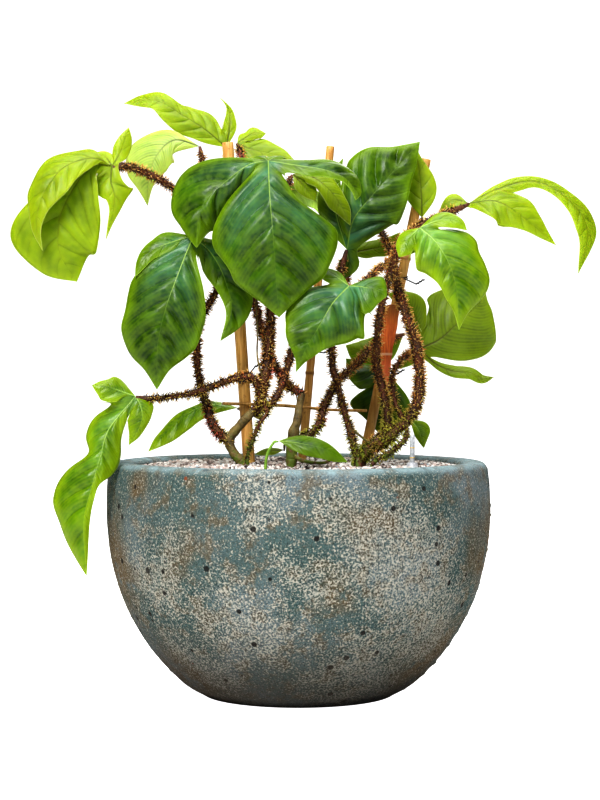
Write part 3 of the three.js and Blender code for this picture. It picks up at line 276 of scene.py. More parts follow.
        Lobe(((28, 4, -2), (52, 6, -16), (62, 4, -42)), (12, 15, 8), (12, 14, 7), droop=18),
        Lobe(((2, 18, -32), (4, 26, -70), (4, 22, -106), (2, 12, -134)), (34, 52, 48, 36, 18),
            (34, 52, 48, 36, 18), (0, 1, 0.1), droop=14, wave=4),
        Lobe(((-28, 4, -2), (-50, 6, -16), (-60, 4, -42)), (12, 15, 8), (12, 14, 7), droop=18),
    ),
    "leaf_back_right": fan(
        Age.MATURE, (102, 118, 676), (0.1, 0.8, 0.6), ((18, 2, -6), (-18, 2, -6)),
        Lobe(((20, 4, -2), (36, 6, -16)), (9, 9), (9, 9), droop=18),
        Lobe(((0, 16, -22), (-2, 24, -46), (-4, 20, -68), (-6, 12, -88)), (24, 34, 32, 24, 12),
            (24, 34, 32, 24, 12), (0, 1, 0.1), droop=14, wave=3),
        Lobe(((-20, 4, -2), (-36, 6, -16)), (9, 9), (9, 9), droop=18),
    ),
    "leaf_rim_front": fan(
        Age.MATURE, (-24, -110, 319), (0, -0.8, 0.6), (),
        Lobe(((26, -4, -3), (55, -6, -10), (83, 0, -26)), (10, 14, 13, 9), (12, 15, 13, 8)),
    ),
    "leaf_rim_back": fan(
        Age.OLIVE, (-18, 20, 303), (0, -0.7, 0.7), (),
        Lobe(((-20, 0, -2), (-38, 0, -6)), (6, 7, 4), (6, 6, 4)),
    ),
}

VINES: dict[str, tuple[Run, ...]] = {
    "vine_left": (
        bare((5.5, 6.2, 6.2, 5.5, 5), "", (-66, -55, 250), (-66, -55, 284), (-79, -54, 302),
            (-84, -53, 318), (-70, -52, 338), (-52, -51, 356), (-46, -50, 366)),
        bristly((6, 6, 5.5, 4.5, 4), "leaf_front_centre", (-54, -51, 353), (-45, -50, 370),
            (-42, -48, 390), (-37, -40, 428), (-34, -30, 481), (-34, -22, 553), (-38, -32, 612),
            (-38, -74, 644)),
        bristly((5, 4.5, 4, 3.6), "leaf_front_left", (-84, -53, 314), (-104, -46, 334), (-113, -40, 360),
            (-121, -34, 385), (-126, -30, 428), (-121, -34, 466), (-100, -44, 503), (-104, -62, 535),
            (-114, -86, 553)),
        bristly((4.5, 4, 3.6, 3.2), "leaf_over_rim", (-46, -51, 372), (-57, -60, 394), (-76, -64, 393),
            (-98, -66, 386), (-127, -74, 376), (-170, -88, 369)),
        bristly((4.5, 4.2, 4, 3.5), "leaf_upper_right", (-53, -51, 350), (-29, -48, 367), (-16, -42, 398),
            (-7, -36, 428), (14, -26, 466), (46, -18, 510)),
        bristly((3.6, 3.2, 3), "leaf_top_centre", (-34, -22, 553), (-52, 18, 610), (-70, 56, 668)),
        bristly((3.6, 3.2, 3), "leaf_centre_gap", (-34, -22, 553), (-22, -24, 600), (-12, -28, 634)),
        bristly((3.8, 3.4, 3), "leaf_back_left", (-34, -24, 545), (-31, 24, 556), (-29, 76, 600)),
        bare((3.6, 3.2, 3), "leaf_left_narrow", (-55, -51, 350), (-50, -20, 346), (-48, 12, 344),
            (-56, 46, 347), (-70, 86, 352)),
        bristly((2.6, 2.4, 2.2), "", (-44, -52, 366), (-38, -68, 352), (-47, -72, 339), (-54, -73, 322),
            (-62, -72, 298), (-59, -70, 270), (-59, -70, 250)),
        bare((1.3, 1, 0.8), "", (-42, -50, 388), (-50, -56, 418), (-50, -54, 452), (-52, -52, 488)),
    ),
    "vine_middle": (
        bare((7, 7.5, 6, 5, 4.5), "", (-9, -50, 250), (-9, -50, 284), (-6, -50, 326), (-2, -46, 340),
            (1, -40, 358), (4, -34, 374)),
        bristly((5, 5, 4.8, 4.5, 4.5, 4), "leaf_far_left", (4, -34, 374), (-13, -22, 384),
            (-23, -10, 400), (-32, 2, 412), (-46, 24, 453), (-61, 36, 503), (-92, 40, 572),
            (-159, 12, 632), (-206, -16, 654)),
        bristly((4, 3.6, 3), "leaf_top_left", (-61, 36, 503), (-70, 62, 560), (-80, 90, 620),
            (-90, 110, 666)),
        bristly((4, 3.6, 3), "leaf_left_pale", (-92, 40, 572), (-112, 58, 620), (-122, 70, 664)),
        bristly((4.5, 4.5, 4, 3.6), "leaf_behind_cane", (-2, -48, 318), (16, -48, 326), (27, -40, 340),
            (31, -32, 356), (44, -16, 382), (57, 0, 397), (73, 30, 410), (95, 62, 432), (118, 86, 443)),
        bare((2, 1.8, 1.6), "leaf_rim_back", (-6, -50, 318), (-12, -34, 317), (-17, -4, 311)),
        bare((3, 2.2, 2, 1.8), "", (-6, -50, 300), (2, -64, 294), (18, -72, 291), (32, -76, 291),
            (40, -78, 296), (44, -80, 304)),
    ),
    "vine_right": (
        bristly((8, 9, 8, 7, 5.5), "", (74, -41, 250), (74, -41, 284), (80, -42, 298), (93, -44, 312),
            (107, -45, 324), (112, -46, 338)),
        bristly((4.5, 4.5, 4.2, 3.6), "leaf_front_right", (110, -46, 334), (108, -47, 352),
            (104, -48, 375), (99, -48, 395), (95, -48, 412), (96, -46, 434), (97, -44, 452),
            (104, -42, 491), (118, -56, 540), (132, -82, 562)),
        bristly((6.5, 6, 6, 6, 5.5, 4.5, 4), "leaf_far_right", (93, -44, 308), (110, -49, 318),
            (121, -52, 331), (132, -52, 339), (140, -50, 351), (147, -46, 368), (149, -42, 390),
            (148, -36, 412), (145, -30, 434), (139, -24, 454), (132, -20, 476), (122, -14, 508),
            (119, -12, 541), (130, -12, 566), (158, 4, 586), (186, 24, 600)),
        bristly((3.6, 3.4, 3), "leaf_front_low", (119, -12, 541), (106, -36, 532), (90, -66, 520),
            (70, -90, 501)),
        bristly((3.6, 3.2, 3), "leaf_back_right", (119, -12, 541), (102, 28, 586), (96, 82, 646)),
        bristly((3, 2.6), "leaf_upper_right_back", (144, -4, 576), (149, 5, 584), (154, 11, 592)),
        bristly((3, 2.6, 2.8, 3.2), "leaf_right", (132, -50, 338), (124, -42, 352), (118, -36, 367),
            (116, -30, 385), (117, -26, 400), (124, -14, 411), (133, 6, 420), (141, 30, 424)),
        bare((2.4, 2.2, 2), "leaf_low_small", (139, -50, 350), (143, -38, 352), (141, -26, 347)),
        bristly((3.4, 3.2, 3), "leaf_low_dark", (107, -44, 330), (110, -20, 346), (113, 20, 366),
            (116, 50, 382)),
        bristly((4, 4.5, 4.2, 4, 3.6), "leaf_centre_shade", (74, -62, 250), (74, -62, 284),
            (72, -58, 296), (68, -52, 310), (63, -48, 330), (56, -47, 352), (51, -46, 372),
            (47, -45, 388), (42, -42, 407), (41, -36, 431), (43, -28, 466), (58, 14, 505)),
        bristly((3, 2.8, 2.4), "", (132, -52, 336), (131, -60, 320), (120, -66, 309), (106, -70, 300),
            (94, -72, 293), (88, -72, 282), (88, -72, 250)),
        bare((1.8, 1.5, 1.5), "", (62, -48, 333), (74, -52, 324), (88, -48, 312)),
    ),
    "shoot_front": (
        bare((2, 1.8, 1.6), "leaf_rim_front", (-40, -104, 250), (-40, -104, 278), (-38, -106, 300),
            (-30, -108, 316)),
    ),
}


def srgb(code: str) -> tuple[float, float, float, float]:
    """A colour for a socket.

    Args:
        code: The colour as six hexadecimal digits, as a screen shows it.

    Returns:
        Linear red, green, blue and an alpha of 1.
    """
    parts = [int(code[k : k + 2], 16) / 255 for k in (0, 2, 4)]
    linear = [c / 12.92 if c <= 0.04045 else ((c + 0.055) / 1.055) ** 2.4 for c in parts]
    return (*linear, 1.0)


def along(values: Any, share: Any) -> np.ndarray:
    """Catmull-Rom through evenly spaced numbers or points.

    Args:
        values: The numbers, or the points, from share 0 to share 1.
        share: Where to read the curve.

    Returns:
        One value or one point for each share.
    """
    knots = np.asarray(values, float)
    last = len(knots) - 1
    place = np.clip(np.asarray(share, float), 0, 1) * last
    i = np.minimum(place.astype(int), last - 1)
    t = place - i
    padded = np.concatenate([[2 * knots[0] - knots[1]], knots, [2 * knots[-1] - knots[-2]]])
    weights = (
        -0.5 * t + t**2 - 0.5 * t**3,
        1 - 2.5 * t**2 + 1.5 * t**3,
        0.5 * t + 2 * t**2 - 1.5 * t**3,
        -0.5 * t**2 + 0.5 * t**3,
    )
    shape = (slice(None),) * t.ndim + ((None,) if knots.ndim == 2 else ())
    return sum(w[shape] * padded[i + k] for k, w in enumerate(weights))


def smooth(x: Any, low: float, high: float) -> np.ndarray:
    """0 below low, 1 above high, and a smooth step between."""
    t = np.clip((np.asarray(x, float) - low) / (high - low), 0, 1)
    return t * t * (3 - 2 * t)


def unit(v: np.ndarray) -> np.ndarray:
    """The vectors at length 1."""
    return v / np.maximum(np.linalg.norm(v, axis=-1, keepdims=True), 1e-9)


def length_of(points: np.ndarray) -> float:
    """The length of the line through the points."""
    return float(np.linalg.norm(np.diff(points, axis=0), axis=1).sum())


def circle(sides: int) -> np.ndarray:
    """The cosine and the sine of every angle of a ring, as two columns."""
    angle = np.arange(sides) * 2 * math.pi / sides
    return np.stack([np.cos(angle), np.sin(angle)], 1)


def crossways(knots: np.ndarray, share: np.ndarray) -> Iterator[tuple[np.ndarray, np.ndarray]]:
    """Walks along a path without twisting.

    Args:
        knots: The path's points.
        share: Where to stop on it.

    Yields:
        The point, and two directions across the path as rows.
    """
    tangent = unit(along(knots, share + 0.01) - along(knots, share - 0.01))
    side = np.cross(FIRST_SIDE, tangent[0])
    for centre, way in zip(along(knots, share), tangent):
        side = unit(side - np.dot(side, way) * way)
        yield centre, np.array([side, np.cross(way, side)])


def band(rings: int, sides: int, first: int = 0) -> tuple[np.ndarray, np.ndarray]:
    """The faces between rings of vertices that are closed round.

    Args:
        rings: The number of rings.
        sides: The vertices of each.
        first: The first vertex's number.

    Returns:
        The four corners of every face, and the vertex numbers of every ring.
    """
    grid = first + np.arange(rings * sides).reshape(-1, sides)
    beside = np.roll(grid, -1, 1)
    cells = (grid[:-1], beside[:-1], beside[1:], grid[1:])
    return np.stack([c.ravel() for c in cells], 1), grid


def tube_faces(rings: int, sides: int, first: int = 0) -> Faces:
    """The faces of a tube with its two ends, as band counts them."""
    cells, grid = band(rings, sides, first)
    return [*cells.tolist(), grid[0, ::-1].tolist(), grid[-1].tolist()]


def lathe(profile: Any, sides: int, foot: Point, top: Point | None = None) -> Body:
    """A turned body on the line from foot to top.

    Args:
        profile: (radius, distance from the foot); a radius of 0 closes an end.
        sides: The faces round it.
        foot: Where the line starts.
        top: Where it goes, or None for straight up.

    Returns:
        The vertices in millimetres, and the faces.
    """
    axis = unit(np.array(top, float) - np.array(foot)) if top else np.array((0.0, 0.0, 1.0))
    side = unit(np.cross(axis, (0.2, 1.0, 0.1)))
    ring = circle(sides) @ np.array([side, np.cross(axis, side)])
    points: list[np.ndarray] = []
    rings: Faces = []
    for radius, distance in profile:
        centre = np.array(foot) + axis * distance
        count = sides if radius else 1
        rings.append([len(points) + k % count for k in range(sides)])
        points += list(centre + radius * ring[:count])
    faces = []
    for low, high in zip(rings, rings[1:]):
        for k in range(sides):
            n = (k + 1) % sides
            face = list(dict.fromkeys([low[k], low[n], high[n], high[k]]))
            if len(face) > 2:
                faces.append(face)
    return np.array(points), faces


def wire(path: Any, radii: tuple[float, ...], sides: int = 8, step: float = 1.2) -> Body:
    """A closed round tube through points, in millimetres.

    Args:
        path: The points.
        radii: The radius from the first point to the last.
        sides: The faces round it.
        step: The length of a ring.

    Returns:
        The vertices and the faces.
    """
    knots = np.array(path, float)
    count = max(3, round(length_of(along(knots, np.linspace(0, 1, 40))) / step))
    share = np.linspace(0, 1, count + 1)
    stops = zip(crossways(knots, share), along(radii, share))
    rings = [centre + radius * (circle(sides) @ axes) for (centre, axes), radius in stops]
    return np.concatenate(rings), tube_faces(count + 1, sides)


def joined(*parts: Body) -> Body:
    """Several bodies as one list of vertices and one of faces.

    Args:
        parts: The bodies.

    Returns:
        One body.
    """
    faces: Faces = []
    count = 0
    for points, own in parts:
        faces += [[v + count for v in face] for face in own]
        count += len(points)
    return np.concatenate([points for points, _ in parts]), faces


def vertex_normals(points: np.ndarray, quads: np.ndarray) -> np.ndarray:
    """Normals of a mesh of quads, some of which may repeat a corner.

    Args:
        points: One row for each vertex.
        quads: Four vertex numbers for each face.

    Returns:
        One unit normal for each vertex.
    """
    a, b, c, d = (points[quads[:, k]] for k in range(4))
    normals = np.zeros_like(points)
    for k in range(4):
        np.add.at(normals, quads[:, k], np.cross(c - a, d - b))
    return unit(normals)


def make_object(name: str, mesh: bpy.types.Mesh) -> bpy.types.Object:
    """A linked object at the origin that carries the mesh.

    Args:
        name: The object's name.
        mesh: The mesh that it carries.

    Returns:
        The object.
    """
    made = bpy.data.objects.new(name, mesh)
    bpy.context.scene.collection.objects.link(made)
    return made


def mesh_of(name: str, body: Body, **layers: np.ndarray) -> bpy.types.Mesh:
    """A smooth-shaded mesh from millimetres.

    Args:
        name: The mesh's name.
        body: One row for each vertex, and the vertex numbers of each face, in order round it.
        layers: Vectors by attribute name, one row for each face corner, or for each vertex.

    Returns:
        The mesh, in metres.
    """
    mesh = bpy.data.meshes.new(name)
    mesh.from_pydata((body[0] * MM).tolist(), [], body[1])
    for layer, rows in layers.items():
        domain = "CORNER" if len(rows) == len(mesh.loops) else "POINT"
        attribute = mesh.attributes.new(layer, "FLOAT_VECTOR", domain)
        attribute.data.foreach_set("vector", np.asarray(rows, np.float32).ravel())
    mesh.shade_smooth()
    mesh.update()
    return mesh


def finish_piece(
    piece: bpy.types.Object | str, shape: Any, material: bpy.types.Material, slot: str, *nodes: str
) -> None:
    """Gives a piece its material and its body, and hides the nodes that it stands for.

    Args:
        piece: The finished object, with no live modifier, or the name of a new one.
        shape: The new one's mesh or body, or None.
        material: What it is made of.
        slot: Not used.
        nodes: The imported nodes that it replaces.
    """
    if isinstance(piece, str):
        piece = make_object(piece, mesh_of(piece, shape) if isinstance(shape, tuple) else shape)
    piece.data.materials.clear()
    piece.data.materials.append(material)
    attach(piece, "root")
    if nodes:
        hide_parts(*nodes)
    LOG.info("%s: %d triangles", piece.name, sum(len(p.vertices) - 2 for p in piece.data.polygons))


class Graph:
    """A node tree, shader or geometry, with short calls that add nodes and link them."""

    def __init__(self, tree: bpy.types.NodeTree) -> None:
        """Keeps the tree, which starts empty."""
        self.tree = tree
        tree.nodes.clear()

    def set(self, socket: bpy.types.NodeSocket, value: Any) -> None:
        """Links a socket to the value's, or gives it the value, or the colour of six digits.

        Args:
            socket: The input to set.
            value: A node, an output, a plain value or six digits.
        """
        if isinstance(value, bpy.types.Node):
            value = value.outputs[0]
        if isinstance(value, bpy.types.NodeSocket):
            self.tree.links.new(value, socket)
        else:
            socket.default_value = srgb(value) if socket.type == "RGBA" else value

    def add(self, kind: str, inputs: dict[Any, Any] | None = None, **settings: Any) -> Any:
        """A new node.

        Args:
            kind: The node's type, as Blender names it.
            inputs: Values, nodes or sockets by the input's name or number.
            settings: The node's own properties.

        Returns:
            The node.
        """
        node = self.tree.nodes.new(kind)
        for name, value in settings.items():
            setattr(node, name, value)
        for name, value in (inputs or {}).items():
            self.set(node.inputs[name], value)
        return node

    def math(self, operation: str, *values: Any) -> Any:
        """A Math node on up to three values."""
        return self.add("ShaderNodeMath", dict(enumerate(values)), operation=operation)

    def times(self, value: Any, *factors: Any) -> Any:
        """The product of the values.

        Args:
            value: The first value.
            factors: What it is multiplied by.

        Returns:
            The output that holds the product.
        """
        for factor in factors:
            value = self.math("MULTIPLY", value, factor)
        return value

    def total(self, *terms: tuple[Any, float]) -> Any:
        """The sum of values, each times its own factor.

        Args:
            terms: Pairs of a value and its factor.

        Returns:
            The output that holds the sum.
        """
        value = self.times(*terms[0])
        for term, factor in terms[1:]:
            value = self.math("MULTIPLY_ADD", term, factor, value)
        return value

    def mapped(self, value: Any, low: float, high: float, to: Any = 1, start: Any = 0) -> Any:
        """A smooth step of the value from low to high, out as start to to."""
        inputs = dict(enumerate((value, low, high, start, to)))
        return self.add("ShaderNodeMapRange", inputs, interpolation_type="SMOOTHSTEP")

    def mix(self, share: Any, first: Any, second: Any) -> Any:
        """A colour between two colours."""
        return self.add("ShaderNodeMix", {0: share, 6: first, 7: second}, data_type="RGBA").outputs[2]

    def over(self, base: Any, *layers: tuple[Any, Any]) -> Any:
        """The base colour under layers of (share, colour), laid on in turn.

        Args:
            base: The lowest colour.
            layers: Pairs of a share and a colour.

        Returns:
            The output that holds the colour.
        """
        for share, colour in layers:
            base = self.mix(share, base, colour)
        return base

    def vector(self, operation: str, *values: Any) -> Any:
        """A Vector Math node; SCALE takes a vector and a number."""
        slots = (0, 3) if operation == "SCALE" else (0, 1)
        return self.add("ShaderNodeVectorMath", dict(zip(slots, values)), operation=operation)

    def split(self, vector: Any) -> Any:
        """The three numbers of a vector, as a node's outputs."""
        return self.add("ShaderNodeSeparateXYZ", {0: vector}).outputs

    def attribute(self, name: str, output: str = "Vector") -> Any:
        """One of the piece's own attributes; output is Fac for a number."""
        return self.add("ShaderNodeAttribute", attribute_name=name).outputs[output]


class Skin(Graph):
    """The graph of a material, with its Principled shader and the Object coordinates."""

    def __init__(self, name: str) -> None:
        """A new material of that name.

        Args:
            name: The material's name.
        """
        self.material = bpy.data.materials.new(name)
        self.material.use_nodes = True
        super().__init__(self.material.node_tree)
        self.shader = self.add("ShaderNodeBsdfPrincipled")
        self.add("ShaderNodeOutputMaterial", {0: self.shader})
        self.where = self.add("ShaderNodeTexCoord").outputs["Object"]

    @property
    def height(self) -> Any:
        """How high a point is, in metres."""
        return self.split(self.where)[2]

    def noise(self, scale: float, detail: float, roughness: float = 0.55, where: Any = None) -> Any:
        """The value of a noise texture."""
        inputs = {"Vector": where or self.where, "Scale": scale, "Detail": detail}
        return self.add("ShaderNodeTexNoise", {**inputs, "Roughness": roughness})

    def patches(self, scale: float, detail: float, low: float, high: float, *ends: Any) -> Any:
        """Noise from low to high, as mapped gives it."""
        return self.mapped(self.noise(scale, detail), low, high, *ends)

    def stretched(self, squeeze: float, scale: float, low: float, high: float) -> Any:
        """Streaks along Z: noise that is squeezed so much less in height."""
        way = self.add("ShaderNodeMapping", {"Vector": self.where, "Scale": (1, 1, squeeze)})
        return self.mapped(self.noise(scale, 4, where=way), low, high)

    def ramp(self, value: Any, stops: Stops) -> Any:
        """The colour of a ramp of places and colours.

        Args:
            value: The place on the ramp.
            stops: Pairs of a place and a colour.

        Returns:
            The output that holds the colour.
        """
        node = self.add("ShaderNodeValToRGB", {0: value})
        elements = node.color_ramp.elements
        while len(elements) < len(stops):
            elements.new(0.5)
        for element, (place, code) in zip(elements, stops):
            element.position = place
            element.color = srgb(code)
        return node.outputs[0]

    def finished(
        self, colour: Any, rough: Any, relief: tuple[Any, ...] = (), plain: dict[str, Any] | None = None
    ) -> bpy.types.Material:
        """Sets what the shader shows.

        Args:
            colour: The base colour.
            rough: The roughness, or (value, its roughness at 1, its roughness at 0).
            relief: The strength, the distance and the height of a bump, or nothing.
            plain: Values that are the same all over, by the shader's socket.

        Returns:
            The material.
        """
        sockets = self.shader.inputs
        if isinstance(rough, tuple):
            rough = self.mapped(rough[0], 0, 1, *rough[1:])
        self.set(sockets["Base Color"], colour)
        self.set(sockets["Roughness"], rough)
        if relief:
            bump = self.add("ShaderNodeBump", dict(zip(("Strength", "Distance", "Height"), relief)))
            self.set(sockets["Normal"], bump)
        for name, value in (plain or {}).items():
            sockets[name].default_value = value
        return self.material


class Group(Graph):
    """A node group with named sockets."""

    def __init__(self, name: str, kind: str, **sockets: str) -> None:
        """A new group.

        Args:
            name: The group's name.
            kind: Shader or Geometry.
            sockets: The socket type of each input, or of each output where the name starts with
                out_, by the name in lower case with _ for a space.
        """
        super().__init__(bpy.data.node_groups.new(name, f"{kind}NodeTree"))
        for label, socket in sockets.items():
            way = "OUTPUT" if label.startswith("out_") else "INPUT"
            shown = label.removeprefix("out_").replace("_", " ").title()
            self.tree.interface.new_socket(name=shown, in_out=way, socket_type=f"NodeSocket{socket}")
        self.given = self.add("NodeGroupInput").outputs
        self.result = self.add("NodeGroupOutput").inputs


class Scatter(Group):
    """A geometry node group that strews copies of a shape over a mesh, each with its own tone."""

    def __init__(self, name: str, *sizes: str) -> None:
        """A new group with its sizes, a seed and a material as inputs."""
        sockets = {"geometry": "Geometry", **dict.fromkeys(sizes, "Float"), "seed": "Int"}
        super().__init__(name, "Geometry", **sockets, material="Material", out_geometry="Geometry")

    def random(self, low: Any, high: Any, seed: Any = 0) -> Any:
        """A random number for each copy between two floats, or a vector between two vectors.

        Args:
            low: The least value.
            high: The greatest value.
            seed: Tells it from other draws.

        Returns:
            The output that holds the draw.
        """
        first, kind = (2, "FLOAT") if isinstance(low, float) else (0, "FLOAT_VECTOR")
        inputs = {first: low, first + 1: high, "Seed": seed}
        node = self.add("FunctionNodeRandomValue", inputs, data_type=kind)
        return node.outputs[first // 2]

    def strew(self, spots: Any, shape: Any, turn: Any, scale: Any) -> None:
        """Puts the shape on the spots and makes the copies real.

        Args:
            spots: The node that distributes the points.
            shape: The shape's geometry.
            turn: The rotation of a copy.
            scale: The scale of a copy.
        """
        inputs = {"Points": spots, "Instance": shape, "Rotation": turn, "Scale": scale}
        placed = self.add("GeometryNodeInstanceOnPoints", inputs)
        tone = {"Geometry": placed, "Name": "tone", "Value": self.random(0.0, 1.0, 9)}
        toned = self.add("GeometryNodeStoreNamedAttribute", tone, domain="INSTANCE")
        real = self.add("GeometryNodeRealizeInstances", {0: toned})
        inputs = {"Geometry": real, "Material": self.given["Material"]}
        self.set(self.result["Geometry"], self.add("GeometryNodeSetMaterial", inputs))

    def grown(self, source: bpy.types.Object, name: str, **inputs: Any) -> bpy.types.Object:
        """Runs the group on an object and keeps the result as a plain mesh.

        Args:
            source: The object to run it on, which is left as it was.
            name: The new object's name.
            inputs: Values by the group's input names.

        Returns:
            The new object, with no modifier.
        """
        modifier = source.modifiers.new("grow", "NODES")
        modifier.node_group = self.tree
        for item in self.tree.interface.items_tree:
            if item.in_out == "INPUT" and item.name.lower() in inputs:
                modifier[item.identifier] = inputs[item.name.lower()]
        graph = bpy.context.evaluated_depsgraph_get()
        mesh = bpy.data.meshes.new_from_object(
            source.evaluated_get(graph), preserve_all_data_layers=True, depsgraph=graph
        )
        source.modifiers.remove(modifier)
        mesh.name = name
        mesh.shade_smooth()
        return make_object(name, mesh)


def vein_group() -> bpy.types.NodeTree:
    """Masks of the veins from a leaf's own numbers, for every age of leaf.

    Returns:
        A shader node group that takes the numbers and gives the masks.
    """
    names = ("phase", "across", "edge", "share", "vein_width", "fine_veins")
    masks = ("out_midrib", "out_side_vein", "out_margin", "out_fine", "out_shoulder")
    group = Group("leaf_veins", "Shader", **dict.fromkeys(names + masks, "Float"))
    phase, across, edge, share, vein_width, fine_veins, *_ = group.given
    offset = group.math("SUBTRACT", group.math("FRACT", phase), 0.5)
    to_vein = group.math("SUBTRACT", 0.5, group.math("ABSOLUTE", offset))
    width = group.times(group.math("MULTIPLY_ADD", share, -0.7, 1), vein_width)
    strands = group.math("PINGPONG", group.times(phase, fine_veins), 0.5)
    made = (
        group.mapped(group.math("DIVIDE", across, width), 0.45, 1, 0, 1),
        group.mapped(to_vein, 0, 0.075, 0, 1),
        group.mapped(edge, 0.3, 1.3, 0, 1),
        group.mapped(strands, 0, 0.5),
        group.mapped(offset, -0.42, 0.42),
    )
    for socket, mask in zip(group.result, made):
        group.set(socket, mask)
    return group.tree


@dataclass(frozen=True)
class LeafFinish:
    """The look of one age of leaf, and how far apart and how deep its bulges are in mm."""

    age: Age
    spacing: float
    bulge: float
    deep: str
    light: str
    edge: str
    # painted sheen: a bluish highlight of the overhead light, laid into the colour
    painted_sheen: str
    vein: str
    # dark line along the side veins: painted shade of their grooves
    side_vein: str
    under: str
    under_vein: str
    # how strong the painted sheen is at the top of each lobe
    painted_sheen_share: float
    vein_width: float
    fine_veins: float
    fine_share: float
    roughness: float
    coat: float
    glow: float

    def material(self, veins: bpy.types.NodeTree) -> bpy.types.Material:
        """Builds the material.

        Args:
            veins: The group that turns a leaf's numbers into masks.

        Returns:
            The material, for a blade with the attributes blade and place.
        """
        skin = Skin(self.age.value)
        phase, across, edge = skin.split(skin.attribute("blade"))
        share, _, under = skin.split(skin.attribute("place"))
        numbers = (phase, across, edge, share, self.vein_width, self.fine_veins)
        masks = skin.add("ShaderNodeGroup", node_tree=veins)
        for socket, value in zip(masks.inputs, numbers):
            skin.set(socket, value)
        midrib, side_vein, margin, fine, shoulder = masks.outputs
        patches = skin.patches(22, 4, 0.38, 0.66)
        mottle = skin.patches(90, 3, 0.4, 0.62)
        # Painted sheen: a bluish highlight of the overhead light on the upper part of each lobe, weaker
        # on one side of each bulge and near the margin.
        painted_sheen_mask = skin.times(
            skin.mapped(share, 0.05, 0.62, 0, self.painted_sheen_share), skin.mapped(edge, 4, 30),
            skin.mapped(shoulder, 0, 1, 1, 0.6), skin.mapped(patches, 0, 1, 1, 0.55),
        )
        # Painted shade: a thin dark line in the grooves of the side veins, fading towards the midrib and
        # the margin.
        thin = skin.times(side_vein, skin.mapped(across, 2, 50, 0, 0.3), skin.mapped(edge, 2, 16))
        above = skin.over(
            skin.mix(patches, self.deep, self.light),
            (skin.times(mottle, 0.22), self.edge),
            # painted sheen
            (painted_sheen_mask, self.painted_sheen),
            (skin.mapped(edge, 1, 16, 0, 0.55), self.edge),
            (skin.times(fine, self.fine_share), self.edge),
            # painted shade of the side-vein grooves
            (thin, self.side_vein),
            (skin.times(margin, 0.35), self.under_vein),
            (skin.times(midrib, skin.mapped(share, 0.1, 0.65, 0.1, 0.8)), self.vein),
        )
        lines = skin.math("MAXIMUM", midrib, skin.times(side_vein, 0.6))
        lines = skin.math("MAXIMUM", lines, skin.times(fine, 0.3))
        beneath = skin.mix(patches, self.under, self.under_vein)
        # Painted shade along the veins of the underside.
        beneath = skin.mix(skin.times(lines, 0.5), beneath, self.side_vein)
        gloss = skin.mapped(mottle, 0, 1, self.roughness + 0.08, self.roughness - 0.03)
        height = skin.total((fine, 0.22), (mottle, 0.25), (midrib, -0.8), (side_vein, -0.7))
        plain = {
            "Subsurface Weight": self.glow, "Subsurface Radius": (0.6, 1, 0.2),
            "Subsurface Scale": 0.004, "Coat Weight": self.coat, "Coat Roughness": 0.3,
            "Specular IOR Level": 0.25,
        }
        colour = skin.mix(under, above, beneath)
        return skin.finished(colour, (under, 0.6, gloss), (0.5, 0.0008, height), plain)


